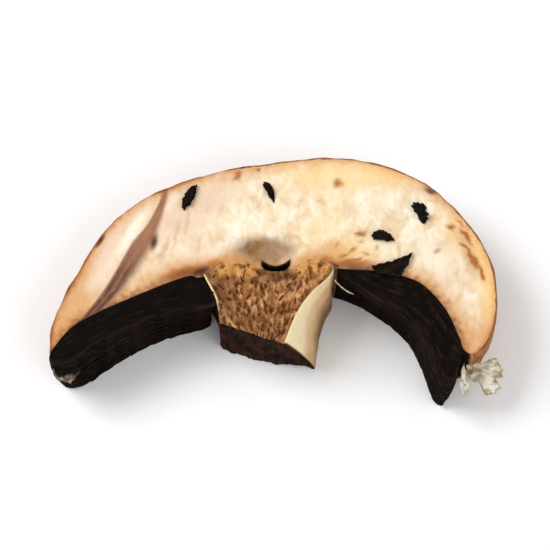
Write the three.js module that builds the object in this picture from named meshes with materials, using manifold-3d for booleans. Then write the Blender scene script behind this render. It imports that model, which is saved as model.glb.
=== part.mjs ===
// A thick slice through a brown-capped button mushroom, lying flat on its rear cut face.
// Millimetres, +Z up. +Y points to the crown of the cap, +X runs along the rim.
import * as THREE from 'three';
import { mergeVertices } from 'three/addons/utils/BufferGeometryUtils.js';
import Module from 'manifold-3d';

const wasm = await Module();
wasm.setup();

// The slice is cut parallel to the stem. The cap is close to half a ball, and its widest plane
// lies inside the slice, nearer the upper cut face.
const SLICE_THICKNESS = 11;
const SLICE_BANDS = 8;
const CAP_RADIUS = 28.6;
const WIDEST_HEIGHT = 6.5;

// Clearance between pieces that grew against each other
const SEAM = 0.3;

// Outlines on the widest plane, from the stem's axis at the height of the rim
const CROWN = [
  [-28.4, 0.3], [-27.8, 5.2], [-25.2, 10.8], [-21.3, 17.5], [-15.5, 22], [-8.5, 24.7], [0, 26.2],
  [7, 26.9], [13.5, 26.1], [20.2, 23.1], [25.2, 17.8], [28.1, 12.4], [28.6, 6.5], [26.9, 0.6],
];
const LEFT_GILL_LINE = [[-28.1, 0.2], [-24.8, 4], [-17.3, 7.7], [-11.2, 10.2], [-9.4, 10.1]];
const STEM_LINE = [[-9.4, 10.1], [-5.4, 11.8], [-1.4, 10.9], [2.2, 10.9], [5.4, 11.9], [8.2, 11.5]];
const RIGHT_GILL_LINE = [[8.2, 11.5], [13.5, 11.2], [18.5, 9.5], [21.8, 6], [23.5, 2.2], [23.8, 0.4]];

// The gill bundles. Their free edges are ribbed, because each blade ends a little differently.
const LEFT_GILL_EDGE = [
  [-28.3, -0.6], [-27.7, -1.2], [-25.6, -1.3], [-22, 1], [-17.6, 3.5], [-12.8, 5.4], [-9.6, 6.2],
  [-8.3, 7.5],
];
const LEFT_GILL_END = [[-8.3, 7.5], [-8.4, 8.6], [-9.6, 9.6]];
const RIGHT_GILL_EDGE = [
  [8.6, 10.4], [11, 8.8], [14.6, 6.1], [17.6, 3.8], [19.3, 1.2], [20.4, -1.8], [21.3, -3.9],
];
const RIGHT_GILL_END = [[21.3, -3.9], [22.2, -4.2], [23.1, -2.6], [23.5, 0]];
const GILL_RIBS = 11;
const GILL_RIB_DEPTH = 0.35;

// The stem's cut face is narrower than the stem behind it, which is round on the right.
const STEM_RIGHT_SIDE = [[7.4, 10.4], [4.9, 8], [3.1, 5.4], [1.3, 1.1]];
const STEM_FOOT = [[1.3, 1.1], [-1.7, 2], [-4.6, 3.1], [-6.3, 4.2]];
const STEM_LEFT_SIDE = [[-6.3, 4.2], [-6.9, 6.4], [-7.6, 8.4], [-8.5, 9.8]];
const STEM_SWELL = 4.3;
const STEM_SWELL_CURVE = 0.8;
const STEM_SWELL_FROM_X = -3;
const STEM_SWELL_TO_X = 1;
const STEM_TOP = 10.4;
const STEM_BOTTOM = 1.1;

// The hollow where the stem meets the cap: a shallow bowl, and a deep slit under it
const BOWL = { centre: [-0.3, 14.2, SLICE_THICKNESS], radii: [3.5, 2.3, 0.9] };
const HOLLOW_DETAIL = 4;
const SLIT = { centre: [0.4, 11.6, SLICE_THICKNESS], radii: [1.9, 0.9, 4.5] };

// Scraps of the torn veil: outline, and the heights between which each lies
const VEIL_BANDS = 2;
const VEILS = {
  veil_left: {
    outline: [
      [-29, -0.4], [-28.6, -1.5], [-26.2, -2.2], [-24.2, -1.5], [-24.8, -2.6], [-27, -3.2], [-29.1, -2],
    ],
    from: 2,
    to: 9.4,
  },
  veil_right_shred: {
    outline: [[24.6, -0.3], [26.6, 0], [28.6, 1], [29.6, -0.6], [28, -2.9], [26.3, -2], [25.4, -1.2]],
    from: 4.6,
    to: 6,
  },
  veil_right_flap: {
    outline: [[24.2, -0.8], [25.1, -1.2], [25, -3], [24, -4.4], [23.3, -3.5], [23.9, -2.2]],
    from: 3,
    to: 8.4,
  },
  veil_thread: {
    outline: [[7.9, 9.7], [8.3, 10.1], [9.4, 8.9], [10.4, 8.4], [10.1, 8], [8.9, 8.5]],
    from: 8.6,
    to: 10.2,
  },
};

// Crumbs of growing soil on the upper cut face: middle, length, width, height, turn in degrees
const CRUMBS = {
  soil_crumb_left: { at: [-10.7, 20.9], size: [3.1, 1.2, 0.8], turn: 62 },
  soil_crumb_middle: { at: [-0.6, 21.7], size: [2.8, 0.9, 0.7], turn: -60 },
  soil_crumb_right: { at: [18.9, 18.9], size: [2.4, 1.8, 1.1], turn: -25 },
  soil_crumb_inner: { at: [14, 15.3], size: [2.7, 1.3, 0.9], turn: -4 },
};
const CRUMB_DETAIL = 2;
const CRUMB_RADIUS = 0.5;
const CRUMB_LUMPS = 0.22;
const LUMP_PITCH = 3.3;

// A loose scrap of gill, flat on the upper cut face
const FLAKE = [[12.7, 11.4], [15.3, 12.2], [17.9, 13.1], [17, 11.5], [16.1, 10.2], [12.9, 10.6]];
const FLAKE_THICKNESS = 0.6;

// How finely the curves are divided
const CROWN_POINTS = 56;
const LINE_POINTS = 14;
const END_POINTS = 5;
const SAME_PLACE = SEAM / 3;

const material = (color, roughness) => new THREE.MeshStandardMaterial({ color, roughness, metalness: 0 });

// A smooth curve through a few points
function curveThrough(points) {
  return new THREE.SplineCurve(points.map(([x, y]) => new THREE.Vector2(x, y)));
}

// Points evenly along that curve, moved sideways to the right of its direction
function pointsBeside(points, count, distance = 0) {
  const curve = curveThrough(points);
  return curve.getSpacedPoints(count).map((point, index) => {
    const along = curve.getTangentAt(index / count);
    return new THREE.Vector2(point.x + along.y * distance, point.y - along.x * distance);
  });
}

// Points on the smooth closed curve through a few points
function pointsAround(outline) {
  return pointsBeside([...outline, outline[0]], 2 * LINE_POINTS);
}

// One closed outline from stretches that run end to end
function joinStretches(...stretches) {
  const points = [];
  for (const point of stretches.flat()) {
    const last = points.at(-1);
    if (!last || last.distanceTo(point) > SAME_PLACE) {
      points.push(point);
    }
  }
  if (points.at(-1).distanceTo(points[0]) < SAME_PLACE) {
    points.pop();
  }
  return new THREE.Shape(points);
}

// Off its widest plane the round cap is smaller, and all that grew with it is smaller with it.
function roundOff(geometry) {
  const position = geometry.attributes.position;
  for (let i = 0; i < position.count; i += 1) {
    const offPlane = (position.getZ(i) - WIDEST_HEIGHT) / CAP_RADIUS;
    const scale = Math.sqrt(1 - offPlane * offPlane);
    position.setXY(i, position.getX(i) * scale, position.getY(i) * scale);
  }
  return geometry;
}

// The outline carried through the slice from one height to another
function slab(shape, from = 0, to = SLICE_THICKNESS, steps = SLICE_BANDS) {
  const geometry = new THREE.ExtrudeGeometry(shape, { depth: to - from, steps, bevelEnabled: false });
  geometry.translate(0, 0, from);
  return geometry;
}

function toSolid(geometry) {
  const bare = geometry.clone();
  bare.deleteAttribute('normal');
  bare.deleteAttribute('uv');
  const indexed = mergeVertices(bare);
  const vertProperties = new Float32Array(indexed.attributes.position.array);
  const triVerts = new Uint32Array(indexed.index.array);
  return new wasm.Manifold(new wasm.Mesh({ numProp: 3, vertProperties, triVerts }));
}

function toGeometry(solid) {
  const mesh = solid.getMesh();
  const geometry = new THREE.BufferGeometry();
  geometry.setAttribute('position', new THREE.BufferAttribute(mesh.vertProperties, 3));
  geometry.setIndex(new THREE.BufferAttribute(mesh.triVerts, 1));
  geometry.computeVertexNormals();
  return geometry;
}

// An egg-shaped space to be cut out of the flesh
function hollow({ centre, radii }) {
  return new THREE.IcosahedronGeometry(1, HOLLOW_DETAIL).scale(...radii).translate(...centre);
}

// The cap: crown, right rim, then back along the right gills, the stem and the left gills
function capGeometry() {
  const shape = joinStretches(
    pointsBeside(CROWN, CROWN_POINTS),
    pointsBeside(RIGHT_GILL_LINE, LINE_POINTS).reverse(),
    pointsBeside(STEM_LINE, LINE_POINTS).reverse(),
    pointsBeside(LEFT_GILL_LINE, LINE_POINTS).reverse(),
  );
  const flesh = toSolid(roundOff(slab(shape)));
  return toGeometry(flesh.subtract(toSolid(hollow(BOWL))).subtract(toSolid(hollow(SLIT))));
}

// A bundle of gill blades under its line on the cap, ribbed along its free edge
function gillGeometry(line, edge, end) {
  const ridge = pointsBeside(line, LINE_POINTS, SEAM).reverse();
  const free = [...pointsBeside(edge, LINE_POINTS), ...pointsBeside(end, END_POINTS)];
  const geometry = slab(joinStretches(free, ridge), 0, SLICE_THICKNESS, 2 * GILL_RIBS);
  const position = geometry.attributes.position;
  const bandHeight = SLICE_THICKNESS / (2 * GILL_RIBS);
  const isFree = (x, y) => free.some((point) => point.distanceTo({ x, y }) < SAME_PLACE);
  for (let i = 0; i < position.count; i += 1) {
    const inGroove = Math.round(position.getZ(i) / bandHeight) % 2 === 1;
    if (inGroove && isFree(position.getX(i), position.getY(i))) {
      position.setY(i, position.getY(i) + GILL_RIB_DEPTH);
    }
  }
  return roundOff(geometry);
}

// The stem widens to the right behind its cut face, most at its foot.
function stemGeometry() {
  const top = pointsBeside(STEM_LINE, LINE_POINTS, SEAM).slice(1, -1);
  const shape = joinStretches(
    top,
    pointsBeside(STEM_RIGHT_SIDE, LINE_POINTS),
    pointsBeside(STEM_FOOT, END_POINTS),
    pointsBeside(STEM_LEFT_SIDE, LINE_POINTS),
  );
  const geometry = slab(shape);
  const position = geometry.attributes.position;
  for (let i = 0; i < position.count; i += 1) {
    const behind = (1 - position.getZ(i) / SLICE_THICKNESS) ** STEM_SWELL_CURVE;
    const low = THREE.MathUtils.clamp((STEM_TOP - position.getY(i)) / (STEM_TOP - STEM_BOTTOM), 0, 1);
    const right = THREE.MathUtils.smoothstep(position.getX(i), STEM_SWELL_FROM_X, STEM_SWELL_TO_X);
    position.setX(i, position.getX(i) + STEM_SWELL * behind * Math.sqrt(low) * right);
  }
  return roundOff(geometry);
}

function veilGeometry({ outline, from, to }) {
  return roundOff(slab(joinStretches(pointsAround(outline)), from, to, VEIL_BANDS));
}

function flakeGeometry() {
  const shape = joinStretches(pointsAround(FLAKE));
  return slab(shape, SLICE_THICKNESS, SLICE_THICKNESS + FLAKE_THICKNESS, 1);
}

// A lumpy crumb with a flat underside on the cut face
function crumbGeometry({ at, size, turn }) {
  const geometry = new THREE.IcosahedronGeometry(CRUMB_RADIUS, CRUMB_DETAIL);
  const position = geometry.attributes.position;
  for (let i = 0; i < position.count; i += 1) {
    const [x, y, z] = [position.getX(i), position.getY(i), position.getZ(i)];
    const wave = Math.sin(LUMP_PITCH * (x + at[0])) * Math.cos(LUMP_PITCH * (2 * y + at[1]));
    const lump = 1 + CRUMB_LUMPS * wave;
    position.setXYZ(i, x * lump, y * lump, Math.max(0, 2 * z * lump));
  }
  geometry.scale(...size);
  geometry.rotateZ(THREE.MathUtils.degToRad(turn));
  return geometry.translate(at[0], at[1], SLICE_THICKNESS);
}

const mushroom = new THREE.Group();

function addPiece(name, geometry, look) {
  const mesh = new THREE.Mesh(geometry, look);
  mesh.name = name;
  mushroom.add(mesh);
}

const leftGills = gillGeometry(LEFT_GILL_LINE, LEFT_GILL_EDGE, LEFT_GILL_END);
const rightGills = gillGeometry(RIGHT_GILL_LINE, RIGHT_GILL_EDGE, RIGHT_GILL_END);
addPiece('cap_slice', capGeometry(), material(0xf3e3c6, 0.6));
addPiece('stem_stub', stemGeometry(), material(0xb98a5c, 0.7));
addPiece('gills_left', leftGills, material(0x1c1512, 0.6));
addPiece('gills_right', rightGills, material(0x1f1613, 0.6));
for (const [name, veil] of Object.entries(VEILS)) {
  addPiece(name, veilGeometry(veil), material(0xe2cfae, 0.7));
}
for (const [name, crumb] of Object.entries(CRUMBS)) {
  addPiece(name, crumbGeometry(crumb), material(0x17110e, 0.9));
}
addPiece('gill_flake', flakeGeometry(), material(0x3a2c28, 0.7));

// The origin is under the middle of the slice.
const extent = new THREE.Box3().setFromObject(mushroom);
const middle = extent.getCenter(new THREE.Vector3());
mushroom.position.set(-middle.x, -middle.y, -extent.min.z);

export default mushroom;
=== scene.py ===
"""A thick slice of a brown-capped button mushroom, lying flat on its rear cut face.

X runs along the rim, Y to the crown of the cap and Z up, through the slice. Outlines and reliefs
are worked out in millimetres from the stem's axis at the height of the rim, and each finished mesh
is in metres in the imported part's frame.
"""

import logging
import math
from dataclasses import dataclass, field
from enum import Enum
from typing import Callable, ClassVar

import bmesh
import bpy
import numpy as np
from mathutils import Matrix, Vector


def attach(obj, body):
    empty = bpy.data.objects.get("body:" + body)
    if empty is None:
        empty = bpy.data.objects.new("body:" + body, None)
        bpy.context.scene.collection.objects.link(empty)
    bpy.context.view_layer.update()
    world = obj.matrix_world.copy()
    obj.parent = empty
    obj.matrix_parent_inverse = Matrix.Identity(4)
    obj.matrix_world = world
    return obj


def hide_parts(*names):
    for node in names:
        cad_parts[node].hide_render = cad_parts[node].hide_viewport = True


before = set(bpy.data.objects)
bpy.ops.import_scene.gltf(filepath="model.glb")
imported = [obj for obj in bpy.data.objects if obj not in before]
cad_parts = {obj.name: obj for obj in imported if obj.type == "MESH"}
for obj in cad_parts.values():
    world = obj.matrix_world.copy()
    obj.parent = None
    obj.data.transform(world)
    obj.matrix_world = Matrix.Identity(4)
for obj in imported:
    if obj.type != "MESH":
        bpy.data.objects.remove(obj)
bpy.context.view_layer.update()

log = logging.getLogger("mushroom")

Array = np.ndarray
Line = tuple[tuple[float, ...], ...]
Axes = tuple[float, float, float]
Band = tuple[float, float]
Places = tuple[float, ...]
Colour = tuple[float, float, float, float]

BODY = "root"
MM = 0.001
TINY = 1e-9
GRAIN_SEED = 11

# The curve between a screen's levels and light, from its published standard
SCREEN_TOP = 255
SCREEN_KNEE = 0.04045
SCREEN_SLOPE = 12.92
SCREEN_OFFSET = 0.055
SCREEN_POWER = 2.4

# The slice, as the part's solids have it, in millimetres
SLICE_THICKNESS = 11.0
CAP_RADIUS = 28.6
WIDEST_HEIGHT = 6.5
ROW_SHIFT = (-0.19468, -11.24624)

CROWN: Line = (
    (-28.4, 0.3), (-27.8, 5.2), (-25.2, 10.8), (-21.3, 17.5), (-15.5, 22), (-8.5, 24.7), (0, 26.2),
    (7, 26.9), (13.5, 26.1), (20.2, 23.1), (25.2, 17.8), (28.1, 12.4), (28.6, 6.5), (27.8, 2.6), (26.6, 0.6),
    (25.5, -0.2),
)
LEFT_GILL_LINE: Line = ((-28.1, 0.2), (-24.8, 4), (-17.3, 7.7), (-11.2, 10.2), (-9.4, 10.1))
STEM_LINE: Line = ((-9.4, 10.1), (-5.4, 11.8), (-1.4, 10.9), (2.2, 10.9), (5.4, 11.9), (8.2, 11.3))
RIGHT_GILL_LINE: Line = (
    (8.2, 11.3), (10.5, 11.15), (13.5, 10.9), (18.5, 9.5), (21.8, 6), (23.5, 2.2), (24.0, 0.5),
    (24.8, -0.2),
)
LEFT_FREE_EDGE: Line = (
    (-9.2, 10.0), (-7.9, 8.9), (-7.2, 7.3), (-7.6, 6.0), (-12.8, 5.3), (-17.6, 3.5), (-22, 1.0),
    (-25.6, -1.4), (-27.8, -1.5), (-28.4, -0.5),
)
RIGHT_FREE_EDGE: Line = (
    (8.6, 10.4), (11, 8.8), (14.6, 6.1), (17.6, 3.8), (19.3, 1.2), (20.4, -1.8), (21.3, -3.9),
    (22.3, -4.3), (23.2, -2.6), (23.6, 0),
)


def srgb(red: float, green: float, blue: float) -> Colour:
    """A colour as Blender wants it, from the 0 to 255 values that a screen shows.

    Args:
        red: red, 0 to 255.
        green: green, 0 to 255.
        blue: blue, 0 to 255.

    Returns:
        The linear colour with full alpha.
    """
    linear = []
    for level in (red / SCREEN_TOP, green / SCREEN_TOP, blue / SCREEN_TOP):
        if level <= SCREEN_KNEE:
            linear.append(level / SCREEN_SLOPE)
        else:
            linear.append(((level + SCREEN_OFFSET) / (1 + SCREEN_OFFSET)) ** SCREEN_POWER)
    return (*linear, 1.0)


def smoothstep(low: float, high: float, value: Array) -> Array:
    """A soft step from 0 at low to 1 at high."""
    ramp = np.clip((value - low) / (high - low), 0, 1)
    return ramp * ramp * (3 - 2 * ramp)


def fall(low: float, high: float, value: Array) -> Array:
    """A soft step from 1 at low to 0 at high."""
    return 1 - smoothstep(low, high, value)


def even_line(points: Line, count: int = 400, steps: int = 40) -> Array:
    """Even points along the smooth curve through a few points.

    Args:
        points: the points that the curve passes through.
        count: how many even points are wanted.
        steps: how many steps of the curve are worked out between two points.

    Returns:
        Their places, one row each.
    """
    knots = np.array([points[0], *points, points[-1]], dtype=float)
    t = np.linspace(0, 1, steps, endpoint=False)[:, None]
    dense = []
    for before, here, there, after in zip(knots, knots[1:], knots[2:], knots[3:]):
        out, into = (there - before) / 2, (after - here) / 2
        dense.append(
            here + out * t + (3 * (there - here) - 2 * out - into) * t**2
            + (2 * (here - there) + out + into) * t**3
        )
    dense.append(knots[-1:])
    path = np.concatenate(dense)
    travelled = np.concatenate([[0], np.cumsum(np.linalg.norm(np.diff(path, axis=0), axis=1))])
    wanted = np.linspace(0, travelled[-1], count)
    return np.stack([np.interp(wanted, travelled, column) for column in path.T], axis=1)


def along(line: Array, fraction: Array) -> Array:
    """Places at the given fractions of an even line's length."""
    steps = np.linspace(0, 1, len(line))
    return np.stack([np.interp(fraction, steps, column) for column in line.T], axis=-1)


def rounded_off(points: Array) -> Array:
    """The places drawn in towards the stem's axis off the widest plane, as the round cap is."""
    scale = np.sqrt(1 - ((points[:, 2] - WIDEST_HEIGHT) / CAP_RADIUS) ** 2)
    return np.column_stack([points[:, 0] * scale, points[:, 1] * scale, points[:, 2]])


@dataclass(frozen=True)
class Relief:
    """A kind of random relief.

    Attributes:
        height: how high it is, in millimetres where nothing else is said.
        pitch: the size of its bumps, the same every way or one for each axis.
        layers: how many layers it has, each half as large and half as high as the one before.
        shift: which part of the endless relief it is.
    """

    height: float
    pitch: float | Axes
    layers: int = 3
    shift: float = 0.0


class Grain:
    """Smooth random relief that is the same on every run.

    Attributes:
        SLOPES: how many random slopes there are.
        PRIMES: the large primes that spread the slopes over the cells.
        GAIN: what brings the heights to about -1 to 1.
        APART: how far apart the layers are taken.
    """

    SLOPES = 4096
    PRIMES = (73856093, 19349663, 83492791)
    GAIN = 1.6
    APART = 17.3

    def __init__(self, seed: int) -> None:
        """Draws the table of slopes from the seed."""
        slopes = np.random.default_rng(seed).normal(size=(self.SLOPES, 3))
        self.slopes = slopes / np.linalg.norm(slopes, axis=1, keepdims=True)

    def at(self, points: Array, pitch: float | Axes) -> Array:
        """One layer of relief.

        Args:
            points: places, n by 3.
            pitch: size of a bump, the same every way or one for each axis.

        Returns:
            Heights between about -1 and 1.
        """
        place = points / np.asarray(pitch, dtype=float)
        cell = np.floor(place).astype(np.int64)
        inside = place - cell
        blend = inside**3 * (inside * (inside * 6 - 15) + 10)
        total = np.zeros(len(points))
        for corner in np.ndindex(2, 2, 2):
            node = cell + corner
            code = np.bitwise_xor.reduce(node * self.PRIMES, axis=1)
            slope = self.slopes[code & (self.SLOPES - 1)]
            weight = np.prod(np.where(corner, blend, 1 - blend), axis=1)
            total += weight * np.sum(slope * (inside - corner), axis=1)
        return total * self.GAIN

    def relief(self, points: Array, kind: Relief, shift: float | None = None) -> Array:
        """Heights of a kind of relief.

        Args:
            points: places, n by 3.
            kind: the relief's kind.
            shift: which part of it is taken, where it isn't the kind's own.

        Returns:
            The heights.
        """
        pitches = np.asarray(kind.pitch, dtype=float)
        start = points + (kind.shift if shift is None else shift)
        layers = (
            self.at(start + self.APART * n, pitches / 2**n) / 2**n for n in range(kind.layers)
        )
        return kind.height * sum(layers)

    def wander(self, points: Array, kind: Relief) -> Array:
        """The points moved about along X and, by another part of the relief, along Y."""
        moved = points.copy()
        moved[:, 0] += self.relief(points, kind, 0.0)
        moved[:, 1] += self.relief(points, kind)
        return moved


def stood(name: str, data: bpy.types.ID) -> bpy.types.Object:
    """A new object in the scene that holds the data."""
    made = bpy.data.objects.new(name, data)
    bpy.context.collection.objects.link(made)
    return made


@dataclass
class Shell:
    """A closed mesh in the making.

    Attributes:
        points: places in millimetres, n by 3.
        quads: corner numbers of its faces, m by 4.
        marks: named values for each point, which the finishes read.
    """

    points: Array
    quads: Array
    marks: dict[str, Array] = field(default_factory=dict)

    def normals(self) -> Array:
        """Outward directions at the points."""
        corners = self.points[self.quads]
        across = np.cross(corners[:, 2] - corners[:, 0], corners[:, 3] - corners[:, 1])
        total = np.zeros_like(self.points)
        for corner in range(4):
            np.add.at(total, self.quads[:, corner], across)
        return total / np.maximum(np.linalg.norm(total, axis=1, keepdims=True), TINY)

    def face_outwards(self) -> None:
        """Turns the faces round if the shell is inside out."""
        corners = self.points[self.quads]
        across = np.cross(corners[:, 2] - corners[:, 0], corners[:, 3] - corners[:, 1])
        if np.sum(across * corners.mean(axis=1)) < 0:
            self.quads = self.quads[:, ::-1]

    def push(self, height: Array) -> None:
        """Moves each point out along its normal by a height in millimetres."""
        self.points = self.points + self.normals() * height[:, None]

    def to_object(self, name: str) -> bpy.types.Object:
        """The finished object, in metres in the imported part's frame.

        Args:
            name: the object's name.

        Returns:
            A new smooth-shaded object at the origin, with its marks as attributes.
        """
        mesh = bpy.data.meshes.new(name)
        placed = (self.points + (*ROW_SHIFT, 0)) * MM
        mesh.from_pydata(placed.tolist(), [], self.quads.tolist())
        for mark, values in self.marks.items():
            attribute = mesh.attributes.new(mark, "FLOAT", "POINT")
            attribute.data.foreach_set("value", np.ascontiguousarray(values, dtype=np.float32))
        mesh.shade_smooth()
        return stood(name, mesh)


@dataclass(frozen=True)
class Block:
    """The nodes on the skin of a block, each with its place from 0 to 1 along, across and up.

    Attributes:
        EVEN: how evenly the nodes are spaced, and DRAWN how much they are drawn to the edges.
    """

    EVEN: ClassVar[float] = 0.7
    DRAWN: ClassVar[float] = 0.15

    along: Array
    across: Array
    up: Array
    quads: Array

    @classmethod
    def divided(cls, count: tuple[int, int, int]) -> "Block":
        """The skin of a block divided into so many nodes each way, closer at its edges.

        Args:
            count: nodes along, across and up.

        Returns:
            The block, with every side's faces joined to its neighbours'.
        """
        places = []
        for number in count:
            even = np.linspace(0, 1, number)
            places.append(cls.EVEN * even + cls.DRAWN * (1 - np.cos(math.pi * even)))
        inner = np.zeros(count, dtype=bool)
        inner[1:-1, 1:-1, 1:-1] = True
        index = np.full(count, -1)
        index[~inner] = np.arange(np.count_nonzero(~inner))
        u, w, t = np.meshgrid(*places, indexing="ij")
        sides = (
            (index[:, :, -1], False), (index[:, :, 0], True), (index[:, 0, :], False),
            (index[:, -1, :], True), (index[0], True), (index[-1], False),
        )
        quads = np.concatenate([cls._sheet(grid, turned) for grid, turned in sides])
        return cls(u[~inner], w[~inner], t[~inner], quads)

    @staticmethod
    def _sheet(grid: Array, turned: bool) -> Array:
        """Faces over one side's grid of nodes, turned round if asked."""
        corners = (grid[:-1, :-1], grid[1:, :-1], grid[1:, 1:], grid[:-1, 1:])
        quads = np.stack(corners, axis=-1).reshape(-1, 4)
        return quads[:, ::-1] if turned else quads


@dataclass(frozen=True)
class Patch:
    """A four-sided piece of the outline plane, between two long sides and two short ends."""

    first: Array
    second: Array
    start: Array
    end: Array

    @classmethod
    def between(cls, first: Line, second: Line) -> "Patch":
        """The piece between two smooth lines, with straight ends."""
        one, two = even_line(first), even_line(second)
        step = np.linspace(0, 1)[:, None]
        start, end = (one[n] * (1 - step) + two[n] * step for n in (0, -1))
        return cls(one, two, start, end)

    def at(self, u: Array, w: Array) -> Array:
        """Places at fractions u along and w across, n by 2."""
        one, two = along(self.first, u), along(self.second, u)
        start, end = along(self.start, w), along(self.end, w)
        u, w = u[:, None], w[:, None]
        corners = (1 - u) * ((1 - w) * self.first[0] + w * self.second[0])
        corners = corners + u * ((1 - w) * self.first[-1] + w * self.second[-1])
        return (1 - w) * one + w * two + (1 - u) * start + u * end - corners

    def width(self, u: Array) -> Array:
        """Distance across, in millimetres, at fractions u along."""
        return np.linalg.norm(along(self.second, u) - along(self.first, u), axis=-1)

    def length(self) -> float:
        """Mean length of the two long sides, in millimetres."""
        sides = (self.first, self.second)
        return sum(np.linalg.norm(np.diff(side, axis=0), axis=1).sum() for side in sides) / 2


@dataclass(frozen=True)
class Slab:
    """A patch carried from one height to another, with its edges rounded.

    Attributes:
        LEAST_WIDTH: the least width that a place across is counted in.
        MOST_ROUND: the largest part of its smallest side that may be rounded.
    """

    LEAST_WIDTH: ClassVar[float] = 0.05
    MOST_ROUND: ClassVar[float] = 0.45

    patch: Patch
    low: float
    high: float
    edge_radius: float
    count: tuple[int, int, int]

    def shell(self) -> tuple[Shell, Block]:
        """The closed shell with marks for the distances to its sides.

        Returns:
            The shell and the block that its points come from. The marks are first_edge and
            second_edge, the distances in millimetres from the patch's two long sides.
        """
        block = Block.divided(self.count)
        width = np.maximum(self.patch.width(block.along), self.LEAST_WIDTH)
        even = np.ones_like(width)
        size = np.column_stack([even * self.patch.length(), width, even * (self.high - self.low)])
        place = np.stack([block.along, block.across, block.up], axis=1) * size
        radius = np.minimum(self.edge_radius, self.MOST_ROUND * size.min(axis=1))[:, None]
        core = np.clip(place, radius, size - radius)
        away = place - core
        reach = np.maximum(np.linalg.norm(away, axis=1, keepdims=True), TINY)
        place = (core + away / reach * radius) / size
        flat = self.patch.at(place[:, 0], place[:, 1])
        height = self.low + place[:, 2] * (self.high - self.low)
        shell = Shell(np.column_stack([flat, height]), block.quads)
        shell.marks["first_edge"] = place[:, 1] * width
        shell.marks["second_edge"] = (1 - place[:, 1]) * width
        shell.face_outwards()
        return shell, block


def operator(operation: str, turned: bool = False) -> Callable[["Value", object], "Value"]:
    """A method of Value that adds one Math node.

    Args:
        operation: the node's operation.
        turned: whether the other value comes first.

    Returns:
        The method.
    """

    def method(value: "Value", other: object) -> "Value":
        """The outcome of the operation on the value and the other one."""
        return value.nodes.math(operation, *((other, value) if turned else (value, other)))

    return method


class Value:
    """A node's output, for use in ordinary Python expressions."""

    def __init__(self, nodes: "Nodes", socket: bpy.types.NodeSocket) -> None:
        """Keeps the socket and the tree that it is in."""
        self.nodes = nodes
        self.socket = socket

    __add__, __radd__ = operator("ADD"), operator("ADD", True)
    __sub__, __rsub__ = operator("SUBTRACT"), operator("SUBTRACT", True)
    __mul__, __rmul__ = operator("MULTIPLY"), operator("MULTIPLY", True)
    __truediv__, __rtruediv__ = operator("DIVIDE"), operator("DIVIDE", True)
    least, most = operator("MINIMUM"), operator("MAXIMUM")

    def swing(self, reach: float) -> "Value":
        """How far a value from 0 to 1 is from its middle, times a reach."""
        return (self - 1 / 2) * reach


class Nodes:
    """Adds nodes to one tree."""

    def __init__(self, tree: bpy.types.NodeTree) -> None:
        """Keeps the tree."""
        self.tree = tree

    def add(
        self,
        kind: str,
        settings: dict[str, object] | None = None,
        inputs: dict[int | str, object] | None = None,
        output: int | str = 0,
    ) -> Value:
        """Adds one node.

        Args:
            kind: the node's type name.
            settings: its own settings, set first. stops is a ramp's list of places and colours.
            inputs: a value or an output for each named or numbered socket.
            output: the output socket that is handed back.

        Returns:
            That output.
        """
        node = self.tree.nodes.new(kind)
        for key, setting in (settings or {}).items():
            if key == "stops":
                self._fill_ramp(node.color_ramp, setting)
            else:
                setattr(node, key, setting)
        for key, given in (inputs or {}).items():
            if isinstance(given, Value):
                self.tree.links.new(given.socket, node.inputs[key])
            else:
                node.inputs[key].default_value = given
        return Value(self, node.outputs[output])

    def math(self, operation: str, *inputs: object) -> Value:
        """Adds one Math node."""
        return self.add("ShaderNodeMath", {"operation": operation}, dict(enumerate(inputs)))

    @staticmethod
    def _fill_ramp(ramp: bpy.types.ColorRamp, stops: list[tuple[float, Colour]]) -> None:
        """Gives a ramp its stops."""
        while len(ramp.elements) < len(stops):
            ramp.elements.new(1.0)
        for element, (place, colour) in zip(ramp.elements, stops):
            element.position = place
            element.color = colour


@dataclass(frozen=True)
class Noise:
    """How soft blotches look.

    Attributes:
        pitch: their size in millimetres.
        detail: how many finer layers they hold.
        squeeze: how many times finer they are along each axis.
        warp: how much they are twisted.
    """

    pitch: float
    detail: float = 4.0
    squeeze: Axes = (1.0, 1.0, 1.0)
    warp: float = 0.0

    def scale(self) -> Axes:
        """How many blotches there are to a millimetre, along each axis."""
        return tuple(times / self.pitch for times in self.squeeze)


@dataclass(frozen=True)
class Edge:
    """A soft step in a value that a pattern moves to and fro.

    Attributes:
        band: the values at its two ends.
        swing: how far the pattern moves it.
        strength: how strongly it shows.
    """

    band: Band
    swing: float = 0.0
    strength: float = 1.0


@dataclass(frozen=True)
class Surface:
    """How a surface takes the light.

    Attributes:
        rough: its roughness where its pattern is 0, and how much more it is where that is 1.
        depth: the depth of its fine relief in millimetres, and strength how strongly that shows.
        finer: a finer pattern in the relief, half as high.
        specular: how strongly it mirrors.
        glow: how much of the light spreads under it, reach how far in millimetres, and spread
            how far red, green and blue go, in parts of that.
    """

    rough: Band
    depth: float = 0.05
    strength: float = 0.8
    finer: Noise | None = None
    specular: float = 0.5
    glow: float = 0.0
    reach: float = 1.0
    spread: Axes = (1.0, 0.5, 0.25)


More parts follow.
